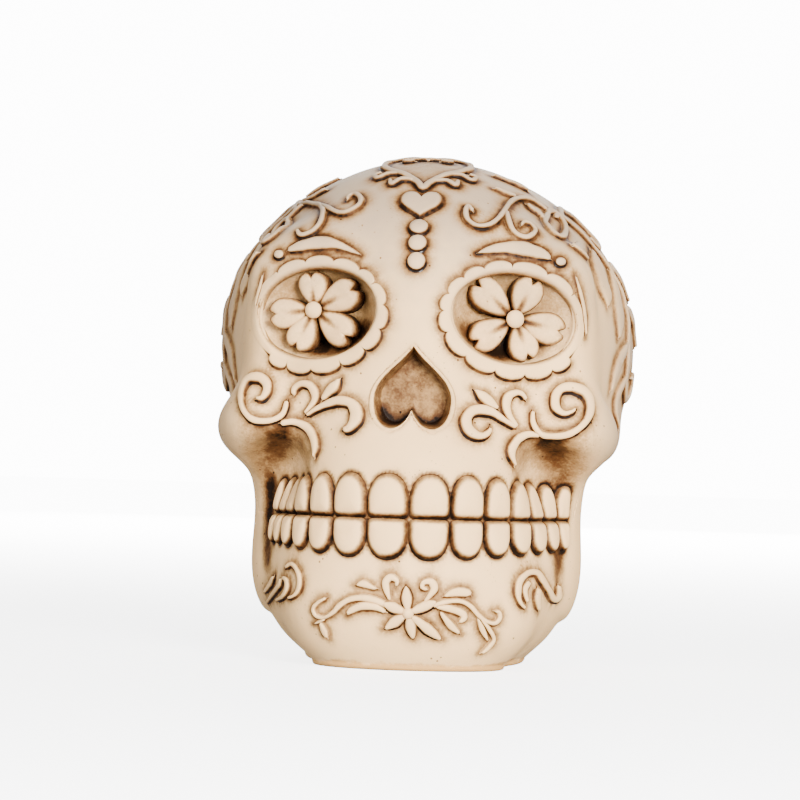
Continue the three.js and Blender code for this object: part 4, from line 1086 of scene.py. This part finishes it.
frontal = {"cheekScroll": (cheek, "cheek_scroll_"), "chinScroll": (chinScroll, "chin_scroll_"),
           "jawLoop": (jawLoop, "jaw_loop_"), "browLeaf": (browLeaf, "brow_leaf_")}
for sideName, side in sides:
    end = sideName.title()
    for kind, (drawing, node) in frontal.items():
        place(carve(kind, [(faceSeat, drawing[side])], end, side), "relief", node + sideName)
    place(carve("sideLeaf", [(faceSeat, sideLeaf[side])], end, side), "relief")
    forehead = [(sideSeat("forehead", side), foreheadScroll[side]),
                (sideSeat("foreheadEnd", side), foreheadEnd[side])]
    place(carve("foreheadScroll", forehead, end, side), "relief", "forehead_scroll_" + sideName)
    temple = [(sideSeat("temple", side), templeSpray), (sideSeat("corner", side), cornerLeaf)]
    place(carve("templeSpray", temple, end, side), "relief", "temple_spray_" + sideName)


def addPlate(name, node, seat, outline, middle, height, dome=flatTop, inkName="relief"):
    rings, washAndShade = plateRings(seat, outline + middle, middle, height, dome, inkName=inkName)
    place(loft(name, rings, washAndShade, reliefResin), "relief", node)


# Heart and beads: sizes across and tall, the places of their middles and how far they stand out
foreheadHeart = {"size": (9.3, 6.2), "middle": (-0.1, 98.9), "proud": 1.0}
foreheadBeads = {
    "sizes": ((4.3, 3.4), (4.1, 3.6), (4.0, 4.0)), "z": (93.7, 90.1, 86.2), "x": -0.1, "proud": 1.3,
}
browBead = {"size": (2.3, 1.9), "x": 30.1, "z": 87.5, "proud": 0.9}

addPlate("foreheadHeart", "forehead_heart", faceSeat, heart(*foreheadHeart["size"]), foreheadHeart["middle"],
         foreheadHeart["proud"])
for number, (size, z) in enumerate(zip(foreheadBeads["sizes"], foreheadBeads["z"]), 1):
    addPlate(f"foreheadBead{number}", f"forehead_bead_{number}", faceSeat, oval(*size),
             (foreheadBeads["x"], z), foreheadBeads["proud"], beadTop)
for sideName, side in sides:
    addPlate("browBead" + sideName.title(), "brow_bead_" + sideName, faceSeat, oval(*browBead["size"]),
             (side * browBead["x"], browBead["z"]), browBead["proud"], beadTop)

# Chin flower: pointed petals given by the places of their tips, and their widths at shares of the way there
chinFlower = {
    "middle": (0.7, 12.5), "widths": ((0.1, 0.9), (0.35, 2.0), (0.6, 2.5), (0.82, 1.75), (1, 0.4)),
    "tips": ((0.2, 18.1), (-4.6, 14.4), (-4.0, 9.1), (1.9, 7.2), (7.6, 7.3), (6.5, 15.1)),
    "bead": 2.7, "beadProud": 1.8,
}


def addChinFlower(flower):
    middle = np.array(flower["middle"])
    petals = [[(*(middle + share * (np.array(tip) - middle)), width) for share, width in flower["widths"]]
              for tip in flower["tips"]]
    place(carve("chinBlossom", [(faceSeat, petals)]), "relief", "chin_blossom")
    addPlate("chinBead", "chin_bead", faceSeat, oval(flower["bead"], flower["bead"]), flower["middle"],
             flower["beadProud"], beadTop, inkName=None)


addChinFlower(chinFlower)


# A round blossom's edge: its reach between dips is the root of one less a power of the way to the dip
def blossomEdge(across, petals=5):
    a = fullTurn(petals * 24)
    local = (a * petals / (2 * math.pi) + 0.5) % 1 * 2 - 1
    r = 0.30 + 0.70 * np.clip(1 - np.abs(local) ** 2.2, 0, 1) ** 0.5
    return across / 2 * (r * np.stack([np.cos(a + math.pi / 2), np.sin(a + math.pi / 2)])).T


def both(strokes):
    return strokes + [[(-u, v, w) for u, v, w in drawn] for drawn in strokes]


backSeat = skinSeat(180, 0, (0, 0, 66))
back = {"blossom": 22, "blossomProud": 1.4, "bead": 5.2, "beadProud": 2.5}
backScrolls = [
    [(2.5, -1, 1.5), (12, -8, 2), (20, -10, 2), (26, -5, 2.4), (25, 2, 2), (19, 4, 2), (16, 0, 1.5),
     (18.5, -2.5, 1)],
    [(2, 2, 1.5), (10, 12, 2), (17, 15, 2), (22, 12, 2), (20.5, 7.5, 1.6), (17, 8.5, 1)],
    [(1.5, -2.5, 1.5), (8, -16, 2), (15, -21, 2), (20, -18, 2), (18.5, -14, 1.6), (15.5, -15, 1)],
]
backSpray = carve("backSpray", [(backSeat, both(backScrolls))])
rings, washAndShade = plateRings(backSeat, blossomEdge(back["blossom"]), (0, 0), back["blossomProud"])
backSpray = joinPieces("backSpray", [backSpray, loft("backBlossom", rings, washAndShade, reliefResin)])
place(backSpray, "relief", "back_spray")
addPlate("backBead", "back_bead", backSeat, oval(back["bead"], back["bead"]), (0, 0), back["beadProud"],
         beadTop, inkName=None)

# The crown's heart is a stroke along every third point of its edge, with curls and sprigs on both sides
crownSeat = skinSeat(0, 90, (0, -22.5, 0))
crownHeart = {"size": (19, 26), "line": 1.7}
heartEdge = heart(*crownHeart["size"])
heartLine = np.concatenate([heartEdge, heartEdge[:1]])[::3]
crownStrokes = [np.concatenate([heartLine, np.full((len(heartLine), 1), crownHeart["line"])], 1)]
crownStrokes += both([
    [(0, 7.0, 1.0), (2.6, 8.2, 1.5), (4.8, 7.2, 1.7), (4.6, 5.0, 1.5), (2.8, 5.2, 1.0)],
    [(4.6, -6.0, 1.0), (7.8, -5.2, 1.3), (10, -6.2, 1.4), (11, -3.8, 1.1), (9.4, -3.4, 0.7)],
    [(2.2, -10, 1.0), (4.8, -9.2, 1.3), (6.8, -10.4, 1.4), (7.4, -8.4, 0.9)],
])
place(carve("crownHeart", [(crownSeat, crownStrokes)]), "relief", "crown_heart")

print("skin")
rings = skinRings()
place(loft("skullSkin", rings, skinWashAndShade(rings), boneResin), "bone", "skull_shell")

print("jaw")


# The jaw is a bent sheet: each column is a loop round its lower edge, up its outside and down its inside
def jawRings():
    c = np.linspace(-1, 1, jaw["columns"])
    c = c + jaw["sideDraw"] * np.sin(math.pi * c)
    r = np.linspace(0, 1, jaw["rows"])[None, :]
    edge = skin["edge"]
    turn = c[:, None] * math.pi / 2 + 0 * r
    z = edge + r * (jawTop(turn) - edge)
    turn = c[:, None] * jawRear(z)
    z = edge + r * (jawTop(turn) - edge)
    start, out = aroundCore(turn, 0 * turn, z, farOut["arch"])
    face = trace(start, -out, boneField)
    a = np.linspace(math.pi / 2, 0, skin["edgeRows"])[:-1, None]
    foot = face[:, :1] - out[:, :1] * edge * (1 - np.cos(a)) - [0, 0, edge] * np.sin(a)
    inner = face - out * jaw["thick"]
    inner[..., 2] = np.clip(inner[..., 2] - jaw["innerDrop"], 0, None)
    inner = np.concatenate([inner[:, ::-jaw["innerEvery"]], inner[:, :1] * [1, 1, 0]], 1)
    return np.concatenate([foot, face, inner], 1), foot.shape[1] + face.shape[1]


rings, shownRows = jawRings()
washAndShade = skinWashAndShade(rings)
washAndShade[:, shownRows:] = 1
place(loft("jawSkin", rings, washAndShade, boneResin), "bone", "jaw")

print("foot")
# Foot: an oval carried through a profile of (share of its size, height, wash)
plate = {
    "across": 34, "length": 32, "y": 20,
    "profile": ((0.5, 3.0, 0.2), (0.98, 3.0, 0.2), (1.0, 2.6, 0.2), (1.0, 0.5, 0.2), (0.985, 0.12, 0.3),
                (0.96, 0.0, 0.1), (0.5, 0.05, 0.05), (0.1, 0.05, 0.05)),
}
share, height, washAndShade = np.array(plate["profile"]).T[:, :, None]
edge = oval(plate["across"], plate["length"], 96)
rings = np.stack([edge[:, 0] * share, edge[:, 1] * share + plate["y"], height + 0 * edge[:, 0]], -1)
place(loft("footPlate", rings, washAndShade, rawResin), "raw_resin", "base_plate")

print("stage")
# Lights as where they stand, size, power and colour, all aimed at the same place
lights = {
    "keyLight": ((0.50, -1.15, 0.27), 0.5, 66, (1, 0.995, 0.98)),
    "fillLight": ((-0.75, -1.0, 0.30), 0.9, 17, (0.99, 0.995, 1)),
    "topLight": ((0.05, -0.1, 1.2), 1.0, 1.5, (1, 1, 1)),
    "backLight": ((0, 1.3, 0.6), 1.2, 22, (1, 1, 1)),
}
lightAim = Vector((0, 0, 0.06))
room = {"white": (1, 1, 1, 1), "strength": 0.30}


def addLight(name, stand, size, power, colour):
    light = bpy.data.lights.new(name, "AREA")
    light.shape, light.size, light.energy, light.color = "DISK", size, power, colour
    lamp = bpy.data.objects.new(name, light)
    lamp.location = stand
    lamp.rotation_euler = (lightAim - Vector(stand)).to_track_quat("-Z", "Y").to_euler()
    bpy.context.scene.collection.objects.link(lamp)


for name, light in lights.items():
    addLight(name, *light)
world = bpy.data.worlds.new("room")
bpy.context.scene.world = world
world.use_nodes = True
world.node_tree.nodes["Background"].inputs["Color"].default_value = room["white"]
world.node_tree.nodes["Background"].inputs["Strength"].default_value = room["strength"]

# Sheets glow to the eye, from near at the middle to white far out, but put no light on the skull
sheets = {"colour": (0.92, 0.915, 0.905), "roughness": 0.8, "fade": (0.05, 1.2)}


def addSheet(name, corners, near, glow):
    mesh = bpy.data.meshes.new(name)
    mesh.from_pydata(corners, [], [(0, 1, 2, 3)])
    sheet = bpy.data.objects.new(name, mesh)
    bpy.context.scene.collection.objects.link(sheet)
    paper = bpy.data.materials.new(name)
    paper.use_nodes = True
    shader = paper.node_tree.nodes["Principled BSDF"]
    shader.inputs["Base Color"].default_value = (*sheets["colour"], 1)
    shader.inputs["Roughness"].default_value = sheets["roughness"]
    shader.inputs["Emission Strength"].default_value = glow
    here = Wire(paper.node_tree, paper.node_tree.nodes.new("ShaderNodeTexCoord").outputs["Object"])
    far = here.node("ShaderNodeVectorMath", {"operation": "LENGTH"}, {0: here}, 1).ramp(*sheets["fade"])
    here.mix(far, (near, near, near), (1, 1, 1)).feed(shader, "Emission Color")
    mesh.materials.append(paper)
    sheet.visible_diffuse = sheet.visible_glossy = sheet.visible_shadow = False


addSheet("floor", [(-6, -3, 0), (6, -3, 0), (6, 4, 0), (-6, 4, 0)], 0.35, 12.0)
addSheet("backdrop", [(-9, 4, -1), (9, 4, -1), (9, 4, 7), (-9, 4, 7)], 1.0, 13.0)
